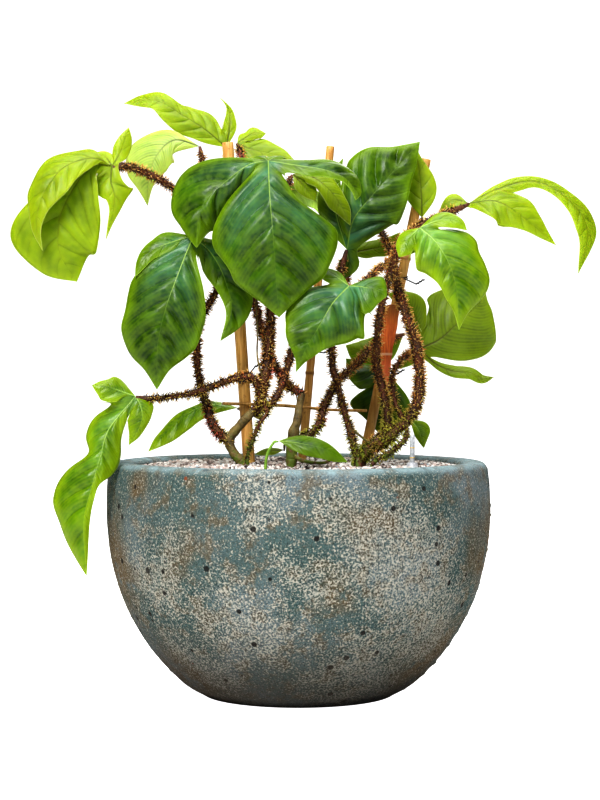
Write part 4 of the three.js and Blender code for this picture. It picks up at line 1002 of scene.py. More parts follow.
@dataclass
class Foliage:
    """The leaves: every blade keeps the form of its node and gets veins, bulges and a thin rim."""

    row_step: float = 2.4
    steps: int = 15
    spread: float = 1.55
    thickness: float = 0.8
    rim_thickness: float = 0.45
    vein_slant: float = 0.35
    vein_curve: float = 0.28
    vein_shift: float = 0.35
    waves: float = 2.0
    full_bulge: float = 150.0
    ripple: float = 1.1
    groove: float = 0.7
    midrib_ridge: float = 1.5
    vein_ridge: float = 0.5
    finishes: tuple[LeafFinish, ...] = (
        # In each finish the seventh value is the colour of the painted sheen and the twelfth its
        # strength.
        LeafFinish(
            Age.MATURE, 34, 7.5, "1c3502", "345602", "6c8a02", "488066", "7f9a44", "1a3402",
            "7f9c4e", "a3c44a", 0.72, 1.2, 5, 0.12, 0.4, 0.08, 0,
        ),
        LeafFinish(
            Age.FRESH, 28, 6, "3a5c04", "587c06", "8aa00a", "74a460", "94b25c", "385a04",
            "9cb45c", "b9d25c", 0.5, 1.2, 5, 0.16, 0.38, 0.08, 0.1,
        ),
        LeafFinish(
            Age.YOUNG, 22, 2.4, "647604", "788a08", "90a010", "94a64c", "4c560e", "5c7008",
            "a4b458", "c2cc7c", 0.4, 1.5, 2, 0.14, 0.46, 0.03, 0.4,
        ),
        LeafFinish(
            Age.OLIVE, 20, 2.2, "4e6002", "627604", "7e920a", "88964a", "4a4a14", "4c6204",
            "a0ae58", "c3cf8a", 0.25, 1.8, 4, 0.3, 0.45, 0.06, 0.15,
        ),
        LeafFinish(
            Age.PALE, 18, 2, "7f9444", "98a85a", "a8b456", "a0ae88", "3c4a16", "607430",
            "b2bf80", "ced79c", 0.5, 1.8, 4, 0.4, 0.5, 0.02, 0.4,
        ),
    )

    def build(self) -> None:
        """Makes every blade and dresses it."""
        veins = vein_group()
        finishes = {f.age: (f, f.material(veins)) for f in self.finishes}
        for node, leaf in LEAVES.items():
            finish, material = finishes[leaf.age]
            mesh = self.blade(node, leaf, finish)
            finish_piece(f"{node}_blade", mesh, material, leaf.age.value, node)

    def half_lobe(
        self, leaf: Leaf, lobe: Lobe, side: int, notch: Point | None, finish: LeafFinish
    ) -> tuple[np.ndarray, np.ndarray]:
        """Half a lobe, as a grid from its midrib to its margin.

        Args:
            leaf: The leaf.
            lobe: The lobe.
            side: -1 for its left and 1 for its right.
            notch: Where it meets its neighbour on that side, if it has one.
            finish: The look of the leaf's age.

        Returns:
            The points, and (phase, across, edge, share, side, relief) at each of them.
        """
        spine = np.array([(0, 0, 0), *lobe.midrib], float)
        share = np.linspace(0, 1, max(14, round(length_of(spine) / self.row_step)) + 1)
        v = (np.arange(self.steps + 1) / self.steps) ** self.spread
        widths = [0, *(lobe.left if side < 0 else lobe.right), 0]
        droop = lobe.droop_left if side < 0 else lobe.droop_right
        droop = math.radians(lobe.droop if droop is None else droop)
        base = along(spine, share)
        tangent = unit(along(spine, share + 0.02) - along(spine, share - 0.02))
        turn = np.minimum(1, 2 * share)[:, None]
        face = (1 - turn) * np.array(leaf.face) + turn * np.array(lobe.face or leaf.face)
        face = unit(face - (face * tangent).sum(1, keepdims=True) * tangent)
        width = np.maximum(0, along(widths, share))[:, None]
        outward = np.cross(face, tangent) * side
        flat = outward * width * math.cos(droop) + tangent * width * self.vein_slant
        drop = -face * width * math.sin(droop)
        if notch:
            near = smooth(share, 0, 1 / (len(widths) - 1))[:, None]
            flat = (1 - near) * (np.array(notch, float) - base) + near * flat
            drop = drop * near
        lift = lobe.wave * np.sin(2 * np.pi * self.waves * share) * np.sin(np.pi * share)
        v2 = (v**2)[None, :, None]
        points = base[:, None] + flat[:, None] * v[None, :, None] + drop[:, None] * v2
        points = points + (face * lift[:, None])[:, None] * v2
        half = np.linalg.norm(flat, axis=1)[:, None]
        size = length_of(along(spine, np.linspace(0, 1, 40)))
        row = share[:, None] + 0 * v[None]
        curve = self.vein_curve * np.minimum(1, 2.6 * half / size) * v[None] ** 1.7
        count = max(3.0, round(size / finish.spacing))
        phase = count * (row - curve) + (self.vein_shift if side < 0 else 0)
        across, edge = half * v, half * (1 - v)
        crease = np.abs(np.sin(np.pi * phase)) ** 0.7 - 0.66
        room = smooth(across, 0, 9) * smooth(edge, 0, 0.55 * half + 4)
        room = room * smooth(row, 0.03, 0.16) * smooth(1 - row, 0.02, 0.12)
        relief = finish.bulge * min(1.0, size / self.full_bulge) * crease * room
        ripple = self.ripple * v[None] ** 4 * np.sin(np.pi * phase) * np.sin(np.pi * row)
        relief = relief + ripple * smooth(half, 6, 30)
        relief = relief - self.groove * np.exp(-((across / 2.2) ** 2)) * (1 - row)
        return points, np.stack([phase, across, edge, row, 0 * row + side, relief], -1)

    def blade(self, name: str, leaf: Leaf, finish: LeafFinish) -> bpy.types.Mesh:
        """The closed mesh of a leaf.

        Args:
            name: The name of the node that it stands for.
            leaf: The leaf.
            finish: The look of its age.

        Returns:
            The mesh, with the corner attributes blade and place.
        """
        points, values, quads = [], [], []
        count = 0
        notches = (None, *leaf.notches, None)
        for lobe, left, right in zip(leaf.lobes, notches, notches[1:]):
            for side, notch in ((-1, left), (1, right)):
                grid, value = self.half_lobe(leaf, lobe, side, notch, finish)
                corner = count + np.arange(grid[..., 0].size).reshape(grid.shape[:2])
                cells = (corner[:-1, :-1], corner[1:, :-1], corner[1:, 1:], corner[:-1, 1:])
                quads.append(np.stack([c.ravel() for c in cells], 1)[:, ::side])
                points.append(grid.reshape(-1, 3))
                values.append(value.reshape(-1, 6))
                count += corner.size
        corners, loose, value = (np.concatenate(a) for a in (quads, points, values))
        _, first, welded = np.unique(np.round(loose, 2), axis=0, return_index=True, return_inverse=True)
        welded = welded.reshape(-1)
        relief = np.bincount(welded, value[:, 5]) / np.bincount(welded)
        sheet = loose[first] + np.array(leaf.at, float)
        kept = np.array([len(set(c)) >= 3 for c in welded[corners].tolist()])
        corners = corners[kept]
        cells = welded[corners]
        phase, across, edge, row = value[first, :4].T
        half = self.rim_thickness + (self.thickness - self.rim_thickness) * smooth(edge, 0, 6)
        ridge = self.midrib_ridge * np.exp(-((across / 2.0) ** 2)) * (1 - 0.8 * row)
        to_vein = np.abs(phase - np.round(phase))
        ridge = ridge + self.vein_ridge * np.exp(-((to_vein / 0.07) ** 2)) * smooth(edge, 2, 12)
        normals = vertex_normals(sheet, cells)
        top = sheet + normals * (relief + half / 2)[:, None]
        bottom = sheet + normals * (relief - half / 2 - ridge * smooth(edge, 0, 4))[:, None]
        return self.closed(name, np.concatenate([top, bottom]), cells, corners, value)

    def closed(
        self, name: str, skins: np.ndarray, cells: np.ndarray, corners: np.ndarray, value: np.ndarray
    ) -> bpy.types.Mesh:
        """Joins the upper and the lower skin of a blade with a rim.

        Args:
            name: The mesh's name.
            skins: The upper skin's vertices, then the lower skin's in the same order.
            cells: The faces of the upper skin, which may repeat a vertex.
            corners: The loose vertex of each of their corners.
            value: What half_lobe gives, for the loose vertices.

        Returns:
            The mesh.
        """
        under = len(skins) // 2
        faces: Faces = []
        used: list[tuple[int, float]] = []
        edges: dict[tuple[int, int], tuple[int, int]] = {}
        for cell, loose in zip(cells.tolist(), corners.tolist()):
            ring = [k for k in range(4) if cell[k] != cell[k - 1]]
            vertices, own = [cell[k] for k in ring], [loose[k] for k in ring]
            for last in range(2, len(ring)):
                for skin, turn in ((0, (0, last - 1, last)), (1, (last, last - 1, 0))):
                    faces.append([skin * under + vertices[k] for k in turn])
                    used += [(own[k], skin) for k in turn]
            for k, a in enumerate(vertices):
                edges[(a, vertices[(k + 1) % len(ring)])] = (own[k], own[(k + 1) % len(ring)])
        for (a, b), (own_a, own_b) in edges.items():
            if (b, a) not in edges:
                faces.append([b, a, a + under, b + under])
                used += [(own_b, 0.3), (own_a, 0.3), (own_a, 0.7), (own_b, 0.7)]
        rows, skin = np.array([u[0] for u in used]), np.array([u[1] for u in used])
        place = np.stack([value[rows, 3], value[rows, 4], skin], 1)
        return mesh_of(name, (skins, faces), blade=value[rows, :3], place=place)


@dataclass(frozen=True)
class StemFinish:
    """The skin of the stems: red-brown bark, olive sheaths and moss near the granules."""

    bark: str = "2c100a"
    bark_light: str = "5c2a18"
    sheath: str = "463c1c"
    sheath_light: str = "786b3c"
    moss: str = "5d7020"
    root: str = "8a6a45"

    def material(self, name: str) -> bpy.types.Material:
        """The material of a stem with the attribute skin: bare share, distance along, hair.

        Args:
            name: The material's name.

        Returns:
            The material.
        """
        skin = Skin(name)
        without, reach, _ = skin.split(skin.attribute("skin"))
        coarse = skin.patches(60, 4, 0.36, 0.66)
        fine = skin.patches(420, 3, 0.35, 0.68)
        bark = skin.mix(coarse, self.bark, self.bark_light)
        moss = skin.times(skin.patches(130, 3, 0.44, 0.56), skin.mapped(skin.height, 0.285, 0.345, 0, 1))
        base = skin.over(
            bark,
            (without, skin.mix(coarse, self.sheath, self.sheath_light)),
            (skin.times(fine, 0.35), self.root),
            (moss, self.moss),
        )
        rings = skin.mapped(skin.math("PINGPONG", reach, 4), 0, 1.2)
        height = skin.math("MULTIPLY_ADD", fine, 0.8, rings)
        return skin.finished(base, (fine, 0.8, 0.55), (0.6, 0.0008, height))


@dataclass(frozen=True)
class BristleFinish:
    """The fleshy hairs: dark at the root, golden or green at the tip, a few pink."""

    root: str = "30180a"
    moss: str = "a8b43c"
    blush: str = "c8504a"
    tips: Stops = (
        (0, "a8682a"), (0.3, "d69c48"), (0.55, "f4cc80"), (0.78, "b4a048"), (1, "cc5a34"),
    )

    def material(self, name: str) -> bpy.types.Material:
        """The material of bristles with the attributes reach and tone.

        Args:
            name: The material's name.

        Returns:
            The material.
        """
        skin = Skin(name)
        reach = skin.attribute("reach", "Fac")
        mossy = skin.times(skin.patches(30, 2, 0.36, 0.52), skin.mapped(skin.height, 0.3, 0.42, 0, 0.9))
        tip = skin.over(
            skin.ramp(skin.attribute("tone", "Fac"), self.tips),
            (mossy, self.moss),
            (skin.patches(17, 2, 0.6, 0.7, 0.8), self.blush),
        )
        base = skin.mix(skin.mapped(reach, 0.15, 0.7), self.root, tip)
        return skin.finished(base, (reach, 0.7, 0.5))


@dataclass
class Climber:
    """The stems with their petioles and roots, and the bristles on them."""

    sides: int = 14
    ring_step: float = 3.0
    bristle_density: float = 190000.0
    bristle_length: float = 5.6 * MM
    bristle_radius: float = 0.85 * MM
    bristle_top: float = 0.12 * MM
    bristle_bend: float = 2.4 * MM
    bare_foot: float = 289.0
    seeds: tuple[tuple[str, int], ...] = (("vine_left", 3), ("vine_middle", 5), ("vine_right", 8))
    green: StemFinish = StemFinish("4f7a25", "7da43c", "6f9a35", "8db84a", "7da43c", "9cc02c")

    def build(self) -> None:
        """Makes the stems and their bristles and dresses them."""
        bark = StemFinish().material("hairy_stem")
        hair = BristleFinish().material("bristles")
        shoot = self.green.material("green_shoot")
        group = self.bristle_group()
        for node, seed in self.seeds:
            stem = make_object(f"{node}_stem", self.stem(node))
            bristles = group.grown(
                stem, f"{node}_bristles", density=self.bristle_density, length=self.bristle_length,
                radius=self.bristle_radius, bend=self.bristle_bend, seed=seed, material=hair,
            )
            finish_piece(bristles, None, hair, "hairy_stem")
            finish_piece(stem, None, bark, "hairy_stem", node)
        mesh = self.stem("shoot_front")
        finish_piece("shoot_front_stem", mesh, shoot, "green_shoot", "shoot_front")

    def bristle_group(self) -> Scatter:
        """Geometry nodes that grow curved bristles out of a stem's skin.

        Returns:
            The group, which gives the bristles alone.
        """
        group = Scatter("grow_bristles", "density", "length", "radius", "bend")
        mesh, density, length, radius, bend, seed, *_ = group.given
        skin = group.add(
            "GeometryNodeInputNamedAttribute", {"Name": "skin"}, data_type="FLOAT_VECTOR"
        )
        density = group.times(density, group.split(skin)[2])
        spots = group.add(
            "GeometryNodeDistributePointsOnFaces", {"Mesh": mesh, "Density": density, "Seed": seed}
        )
        sizes = {"Radius Top": self.bristle_top, "Radius Bottom": radius, "Depth": length}
        cone = group.add("GeometryNodeMeshCone", {"Vertices": 3, "Side Segments": 2, **sizes})
        height = group.split(group.add("GeometryNodeInputPosition"))[2]
        reach = group.math("DIVIDE", height, length)
        sideways = group.times(group.math("POWER", reach, 2), bend)
        store = {"Geometry": cone, "Name": "reach", "Value": reach}
        marked = group.add("GeometryNodeStoreNamedAttribute", store)
        offset = group.add("ShaderNodeCombineXYZ", {0: sideways})
        bent = group.add("GeometryNodeSetPosition", {"Geometry": marked, "Offset": offset})
        tilt = group.random((-0.5, -0.5, -3.14), (0.5, 0.5, 3.14), seed)
        turned = group.add(
            "FunctionNodeRotateRotation",
            {0: spots.outputs["Rotation"], 1: tilt},
            rotation_space="LOCAL",
        )
        group.strew(spots, bent, turned, group.random(0.5, 1.2))
        return group

    def stem(self, node: str) -> bpy.types.Mesh:
        """One closed tube for each run of a node, in one mesh.

        Args:
            node: The node that it stands for.

        Returns:
            The mesh, with the attribute skin: bare share, distance along in mm, hair.
        """
        points, faces, skins = [], [], []
        count = 0
        for run in VINES[node]:
            rings, skin = self.tube(run)
            faces += tube_faces(len(skin), self.sides, count)
            points.append(rings)
            skins.append(np.repeat(skin, self.sides, 0))
            count += len(rings)
        return mesh_of(node, (np.concatenate(points), faces), skin=np.concatenate(skins))

    def tube(self, run: Run) -> tuple[np.ndarray, np.ndarray]:
        """The rings of a run.

        Args:
            run: The run.

        Returns:
            The rings' points, and one row of the attribute skin for each ring.
        """
        path = np.array(run.path, float)
        if run.leaf:
            leaf = LEAVES[run.leaf]
            path = np.vstack([path, np.array(leaf.at) - 2.0 * unit(np.array(leaf.face, float))])
        size = length_of(along(path, np.linspace(0, 1, 60)))
        share = np.linspace(0, 1, max(4, round(size / self.ring_step)) + 1)
        angle = np.arange(self.sides) * 2 * math.pi / self.sides
        reach = share * size
        to_leaf = smooth(size - reach, 9, 22) if run.leaf else 1.0
        slim = 1 - 0.35 * smooth(share, 1 - 14 / size, 1) * bool(run.leaf)
        rings, heights = [], []
        for (centre, axes), radius, thin in zip(crossways(path, share), along(run.radii, share), slim):
            radius = radius * (0.94 + 0.22 * noise.noise(Vector(centre) * 0.11)) * thin
            wobble = 1 + 0.06 * np.sin(3 * angle + 0.09 * np.dot(centre, (1, 1, 1)))
            rings.append(centre + circle(self.sides) @ axes * (radius * wobble)[:, None])
            heights.append(centre[2])
        hair = run.hairy * to_leaf * smooth(heights, self.bare_foot, self.bare_foot + 6)
        without = np.full_like(share, 0.0 if run.hairy else 1.0)
        return np.concatenate(rings), np.stack([without, reach, hair], 1)


@dataclass(frozen=True)
class PotFinish:
    """Weathered cast stone: teal and blue-grey, brown patches, a pale crust, and painted shade in its
    pits and dark specks.

    The spots are (x, y, z, radius) in millimetres on the wall.
    """

    teal: str = "495d5b"
    blue: str = "6f7c80"
    brown: str = "6a583c"
    # painted shade of the pits and the dark specks
    pit: str = "1d1a19"
    rust: str = "8a4a2c"
    # painted highlight on the top of the lip
    lip: str = "8fa3a6"
    # painted shade of the lower bowl, which curves under
    foot: str = "3f3830"
    crust_tones: Stops = ((0.44, "7c7c72"), (0.5, "969890"), (0.56, "adaca0"), (0.64, "c6beae"))
    crust_spots: Spots = (
        (110, -190, 185, 105), (45, -210, 245, 50), (155, -160, 120, 90), (-165, -160, 165, 75),
        (-60, -190, 110, 80), (0, -220, 160, 50), (-45, -220, 262, 45), (60, -150, 60, 80),
        (-110, -130, 70, 70), (200, 100, 190, 110), (50, 220, 150, 120), (-150, 170, 210, 100),
        (-225, 20, 170, 70),
    )
    teal_spots: Spots = (
        (-70, -210, 215, 85), (10, -220, 225, 60), (120, -190, 262, 60), (50, -200, 120, 60),
        (-20, -160, 60, 70), (-130, -170, 110, 50), (120, 200, 200, 100), (-80, 200, 120, 100),
        (-220, 50, 240, 70),
    )
    brown_spots: Spots = (
        (-220, -60, 170, 85), (225, -50, 190, 75), (80, -210, 215, 35), (-130, -180, 180, 35),
        (150, -100, 50, 70), (-120, -80, 30, 80), (-180, -140, 265, 35), (30, -200, 150, 35),
        (0, 200, 240, 80), (170, 120, 80, 90),
    )

    def broad(self, skin: Skin, where: Any, spots: Spots) -> Any:
        """A mask that is 1 in the middle of every spot and fades outwards.

        Args:
            skin: The material's graph.
            where: The place on the wall.
            spots: The spots.

        Returns:
            The mask.
        """
        whole: Any = 0.0
        for x, y, z, radius in spots:
            gap = skin.vector("DISTANCE", where, (x * MM, y * MM, z * MM)).outputs["Value"]
            near = skin.mapped(gap, 0.25 * radius * MM, 1.25 * radius * MM, 0, 1)
            whole = skin.math("MAXIMUM", whole, near)
        return whole

    def small(self, skin: Skin, scale: float, size: float, shift: float) -> Any:
        """The depth of small scattered round spots.

        Args:
            skin: The material's graph.
            scale: Cells per metre.
            size: The radius of the largest spot, in cells.
            shift: Moves the pattern.

        Returns:
            A mask that is 1 within the spots.
        """
        moved = skin.vector("ADD", skin.where, (shift,) * 3)
        cells = skin.add("ShaderNodeTexVoronoi", {"Vector": moved, "Scale": scale})
        radius = skin.mapped(skin.split(cells.outputs["Color"])[0], 0, 0.55, 0, size)
        return skin.mapped(skin.math("SUBTRACT", radius, cells.outputs["Distance"]), 0, 0.05)

    def material(self) -> bpy.types.Material:
        """Layers the colours from the bare stone to the crust, then the painted highlight on the lip and
        the painted shade of the lower bowl.

        Returns:
            The material.
        """
        skin = Skin("planter_stone")
        inputs = {"Vector": skin.where, "Scale": 18, "Detail": 3}
        drift = skin.add("ShaderNodeTexNoise", inputs).outputs[1]
        shift = skin.vector("SCALE", skin.vector("SUBTRACT", drift, (0.5, 0.5, 0.5)), 0.11)
        bent = skin.vector("ADD", skin.where, shift)
        middle = skin.noise(45, 5, 0.65)
        speck = skin.noise(430, 4, 0.62)
        earth = skin.times(
            self.broad(skin, bent, self.brown_spots), skin.mapped(middle, 0.3, 0.5, 0.9)
        )
        thin = skin.times(skin.mapped(middle, 0.48, 0.62), 0.6)
        base = skin.over(
            skin.mix(skin.patches(9, 4, 0.38, 0.62), self.blue, self.teal),
            (skin.times(self.broad(skin, bent, self.teal_spots), 0.8), self.teal),
            (skin.math("MAXIMUM", earth, thin), self.brown),
        )
        grit = skin.mapped(skin.noise(520, 2, 0.5), 0.36, 0.64, 0.72, 1.22)
        crusty = skin.math("ADD", self.broad(skin, bent, self.crust_spots), -0.9)
        worn = skin.math("MULTIPLY_ADD", middle, 1.8, crusty)
        level = skin.mapped(worn, 0, 1, 0.46, 0.57)
        crust = skin.mapped(skin.math("SUBTRACT", speck, level), -0.02, 0.05)
        pits = self.small(skin, 56, 0.25, 0)
        lip = skin.mapped(skin.height, 0.2815, 0.2885)
        colour = skin.over(
            skin.vector("SCALE", base, grit),
            # Painted shade in the dips of the speck relief.
            (skin.mapped(speck, 0.32, 0.44, 0, 0.6), self.pit),
            (skin.times(crust, 0.74), skin.ramp(speck, self.crust_tones)),
            # Painted shade in the pits.
            (skin.times(pits, 0.92), self.pit),
            (skin.times(self.small(skin, 33, 0.1, 3.1), 0.92), self.rust),
            # Painted highlight: the top of the lip is lighter where it faces the overhead light.
            (skin.times(lip, skin.mapped(middle, 0.36, 0.6, 0.35, 0.9)), self.lip),
            # Painted shade: the lower bowl darkens towards the floor as it turns under.
            (skin.mapped(skin.height, 0, 0.14, 0, 0.75), self.foot),
        )
        relief = skin.total((crust, 0.8), (speck, 1.1), (middle, 1), (pits, -2.2))
        plain = {"Specular IOR Level": 0.3}
        return skin.finished(colour, (crust, 0.72, 0.95), (0.85, 0.0016, relief), plain)


@dataclass
class Planter:
    """The bowl: the profile of its node, turned finely, with crust, crumbs and undulations."""

    outside: tuple[tuple[float, float], ...] = (
        (119, 0), (149, 19), (187, 61), (217, 114), (233, 168), (239, 217), (238.5, 258), (236, 281),
    )
    lip: tuple[tuple[float, float], ...] = ((231, 288), (222, 290), (211, 289), (204, 284))
    inside: tuple[tuple[float, float], ...] = ((202, 262), (202, 205), (184, 125), (130, 52))
    floor: float = 30.0
    lip_height: float = 280.0
    around: int = 440
    rows: tuple[int, int, int] = (120, 16, 14)
    crumb: float = 9.0
    pit: float = 8.0

    def build(self) -> None:
        """Makes the bowl and dresses it."""
        material = PotFinish().material()
        finish_piece("planter_bowl", self.bowl(), material, "planter_stone", "planter")

    def relief(self, x: float, y: float, z: float, share: float) -> float:
        """How far the wall stands out at a point, in millimetres.

        Args:
            x: To the right.
            y: To the back.
            z: The height.
            share: How much of the crumbs and pits stays.

        Returns:
            The distance.
        """
        here = Vector((x, y, z))
        waves = 0.9 * noise.noise(here * 0.016) + 0.35 * noise.noise(here * 0.07)
        grain = 0.35 * noise.noise(here * 0.22)
        right = 0.35 + 0.65 * min(1.0, max(0.0, (x + 40) / 240))
        crumb = max(0.0, noise.noise(here * 0.16 + Vector((7, 3, 1))) - 0.5)
        pit = max(0.0, noise.noise(here * 0.13 + Vector((31, 5, 9))) - 0.58)
        return waves + grain + crumb * self.crumb * right * share - pit * self.pit * share

    def bowl(self) -> Body:
        """Turns the wall, the lip and the inside, and closes the foot and the floor.

        Returns:
            The body, with the relief on its wall and lip.
        """
        top = [self.outside[-1], *self.lip, self.inside[0]]
        curves = zip((self.outside, top, self.inside), self.rows)
        wall, top, inner = (along(curve, np.linspace(0, 1, rows)) for curve, rows in curves)
        edge = (np.linspace(0.7, 0.2, len(top) - 1), np.zeros(len(inner) - 1))
        shares = np.concatenate([smooth(wall[:, 1], 1, 14), *edge])
        points = []
        for (radius, height), share in zip(np.concatenate([wall, top[1:], inner[1:]]), shares):
            for c, s in circle(self.around):
                x, y = radius * c, radius * s
                out = self.relief(x, y, height, share) * share
                rise = 0.25 * out * (height > self.lip_height)
                points.append((x + out * c, y + out * s, height + rise))
        cells, grid = band(len(shares), self.around)
        faces = cells.tolist()
        centre = len(points)
        for k, n in zip(range(self.around), np.roll(range(self.around), -1)):
            faces.append([centre, int(grid[0, n]), k])
            faces.append([centre + 1, int(grid[-1, k]), int(grid[-1, n])])
        return np.array([*points, (0, 0, 0), (0, 0, self.floor)], float), faces


@dataclass(frozen=True)
class GranuleFinish:
    """Crushed minerals: white, cream, pink-beige, grey and a few dark ones."""

    tones: Stops = (
        (0, "3a302c"), (0.14, "6e625c"), (0.3, "a3958c"), (0.46, "cfc6be"), (0.62, "efebe6"),
        (0.8, "b39a90"), (0.92, "f8f6f2"), (1, "93a1a8"),
    )
    bed_dark: str = "2e2825"
    bed_light: str = "8c8178"
    # painted shade in the gaps between the granules
    gap: str = "1a1614"

    def material(self) -> bpy.types.Material:
        """The material of granules that each have the attribute tone.

        Returns:
            The material.
        """
        skin = Skin("granules")
        fine = skin.patches(900, 2, 0.3, 0.7, 0.8, 1.1)
        tone = skin.ramp(skin.attribute("tone", "Fac"), self.tones)
        return skin.finished(skin.vector("SCALE", tone, fine), skin.mapped(fine, 0.8, 1.1, 0.95, 0.75))

    def bed_material(self) -> bpy.types.Material:
        """The material of the bed below them: painted shade in the gaps between the granules, with dim
        grains in it.

        Returns:
            The material.
        """
        skin = Skin("granule_bed")
        cells = skin.add("ShaderNodeTexVoronoi", {"Vector": skin.where, "Scale": 300})
        grain = skin.split(cells.outputs["Color"])[1]
        rim = skin.mapped(cells.outputs["Distance"], 0.25, 0.6)
        # Painted shade: the rims of the cells go dark as gaps in shade.
        base = skin.mix(rim, skin.mix(grain, self.bed_dark, self.bed_light), self.gap)
        return skin.finished(base, (grain, 0.95, 0.8), (1, 0.002, skin.math("SUBTRACT", 1, rim)))


@dataclass
class Filling:
    """The granules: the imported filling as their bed, and loose ones strewn on top."""

    spacing: float = 5.2 * MM
    smallest: float = 2.0 * MM
    largest: float = 3.5 * MM
    most: float = 400000.0
    top: float = 0.279
    seed: int = 2

    def build(self) -> None:
        """Dresses the bed and strews the granules."""
        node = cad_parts["granule_filling"]
        bed = GranuleFinish().bed_material()
        for slot in node.material_slots:
            slot.material = bed
        surface = make_object("granule_surface", self.surface(node.data))
        stone = GranuleFinish().material()
        top = self.granule_group().grown(
            surface, "granules_on_top", spacing=self.spacing, smallest=self.smallest,
            largest=self.largest, seed=self.seed, material=stone,
        )
        bpy.data.objects.remove(surface)
        top.data.shade_flat()
        finish_piece(top, None, stone, "granules")

    def granule_group(self) -> Scatter:
        """Geometry nodes that strew rough granules over a bed.

        Returns:
            The group, which gives the granules alone.
        """
        group = Scatter("strew_granules", "spacing", "smallest", "largest")
        mesh, spacing, smallest, largest, seed, *_ = group.given
        inputs = {"Mesh": mesh, "Distance Min": spacing, "Density Max": self.most, "Seed": seed}
        spots = group.add(
            "GeometryNodeDistributePointsOnFaces", inputs, distribute_method="POISSON"
        )
        stone = group.add("GeometryNodeMeshIcoSphere", {"Radius": 1, "Subdivisions": 1})
        low, high = (
            group.add("ShaderNodeCombineXYZ", dict.fromkeys(range(3), size))
            for size in (smallest, largest)
        )
        spin = group.random((0, 0, 0), (6.28, 6.28, 6.28))
        group.strew(spots, stone, spin, group.random(low, high, 4))
        return group

    def surface(self, mesh: bpy.types.Mesh) -> bpy.types.Mesh:
        """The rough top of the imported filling, as an open mesh.

        Args:
            mesh: The mesh of the filling.

        Returns:
            A mesh of its upper faces.
        """
        kept = [p for p in mesh.polygons if p.normal.z > 0.5 and p.center.z > self.top]
        numbers = sorted({v for p in kept for v in p.vertices})
        place = {v: k for k, v in enumerate(numbers)}
        faces = [[place[v] for v in p.vertices] for p in kept]
        made = bpy.data.meshes.new("granule_surface")
        made.from_pydata([mesh.vertices[v].co[:] for v in numbers], [], faces)
        return made


@dataclass(frozen=True)
class BambooFinish:
    """Peeled bamboo: tan with long streaks, darker at its rings and at the cut."""

    light: str = "dfae66"
    dark: str = "b88240"
    ring: str = "7d5226"
    green: str = "a08f4e"

    def material(self) -> bpy.types.Material:
        """Builds the material, for a cane with the attribute ring.

        Returns:
            The material.
        """
        skin = Skin("bamboo")
        lines = skin.stretched(0.05, 420, 0.34, 0.66)
        ring = skin.mapped(skin.split(skin.attribute("ring"))[0], 0, 1)
        spots = skin.patches(150, 4, 0.62, 0.72, 0.5)
        base = skin.over(
            skin.mix(lines, self.dark, self.light),
            (skin.times(skin.patches(16, 3, 0.38, 0.62), 0.3), self.green),
            (spots, self.ring),
            (skin.times(ring, 0.8), self.ring),
        )
        height = skin.total((spots, -0.6), (lines, 0.5))
        return skin.finished(base, (lines, 0.62, 0.42), (0.5, 0.0005, height))


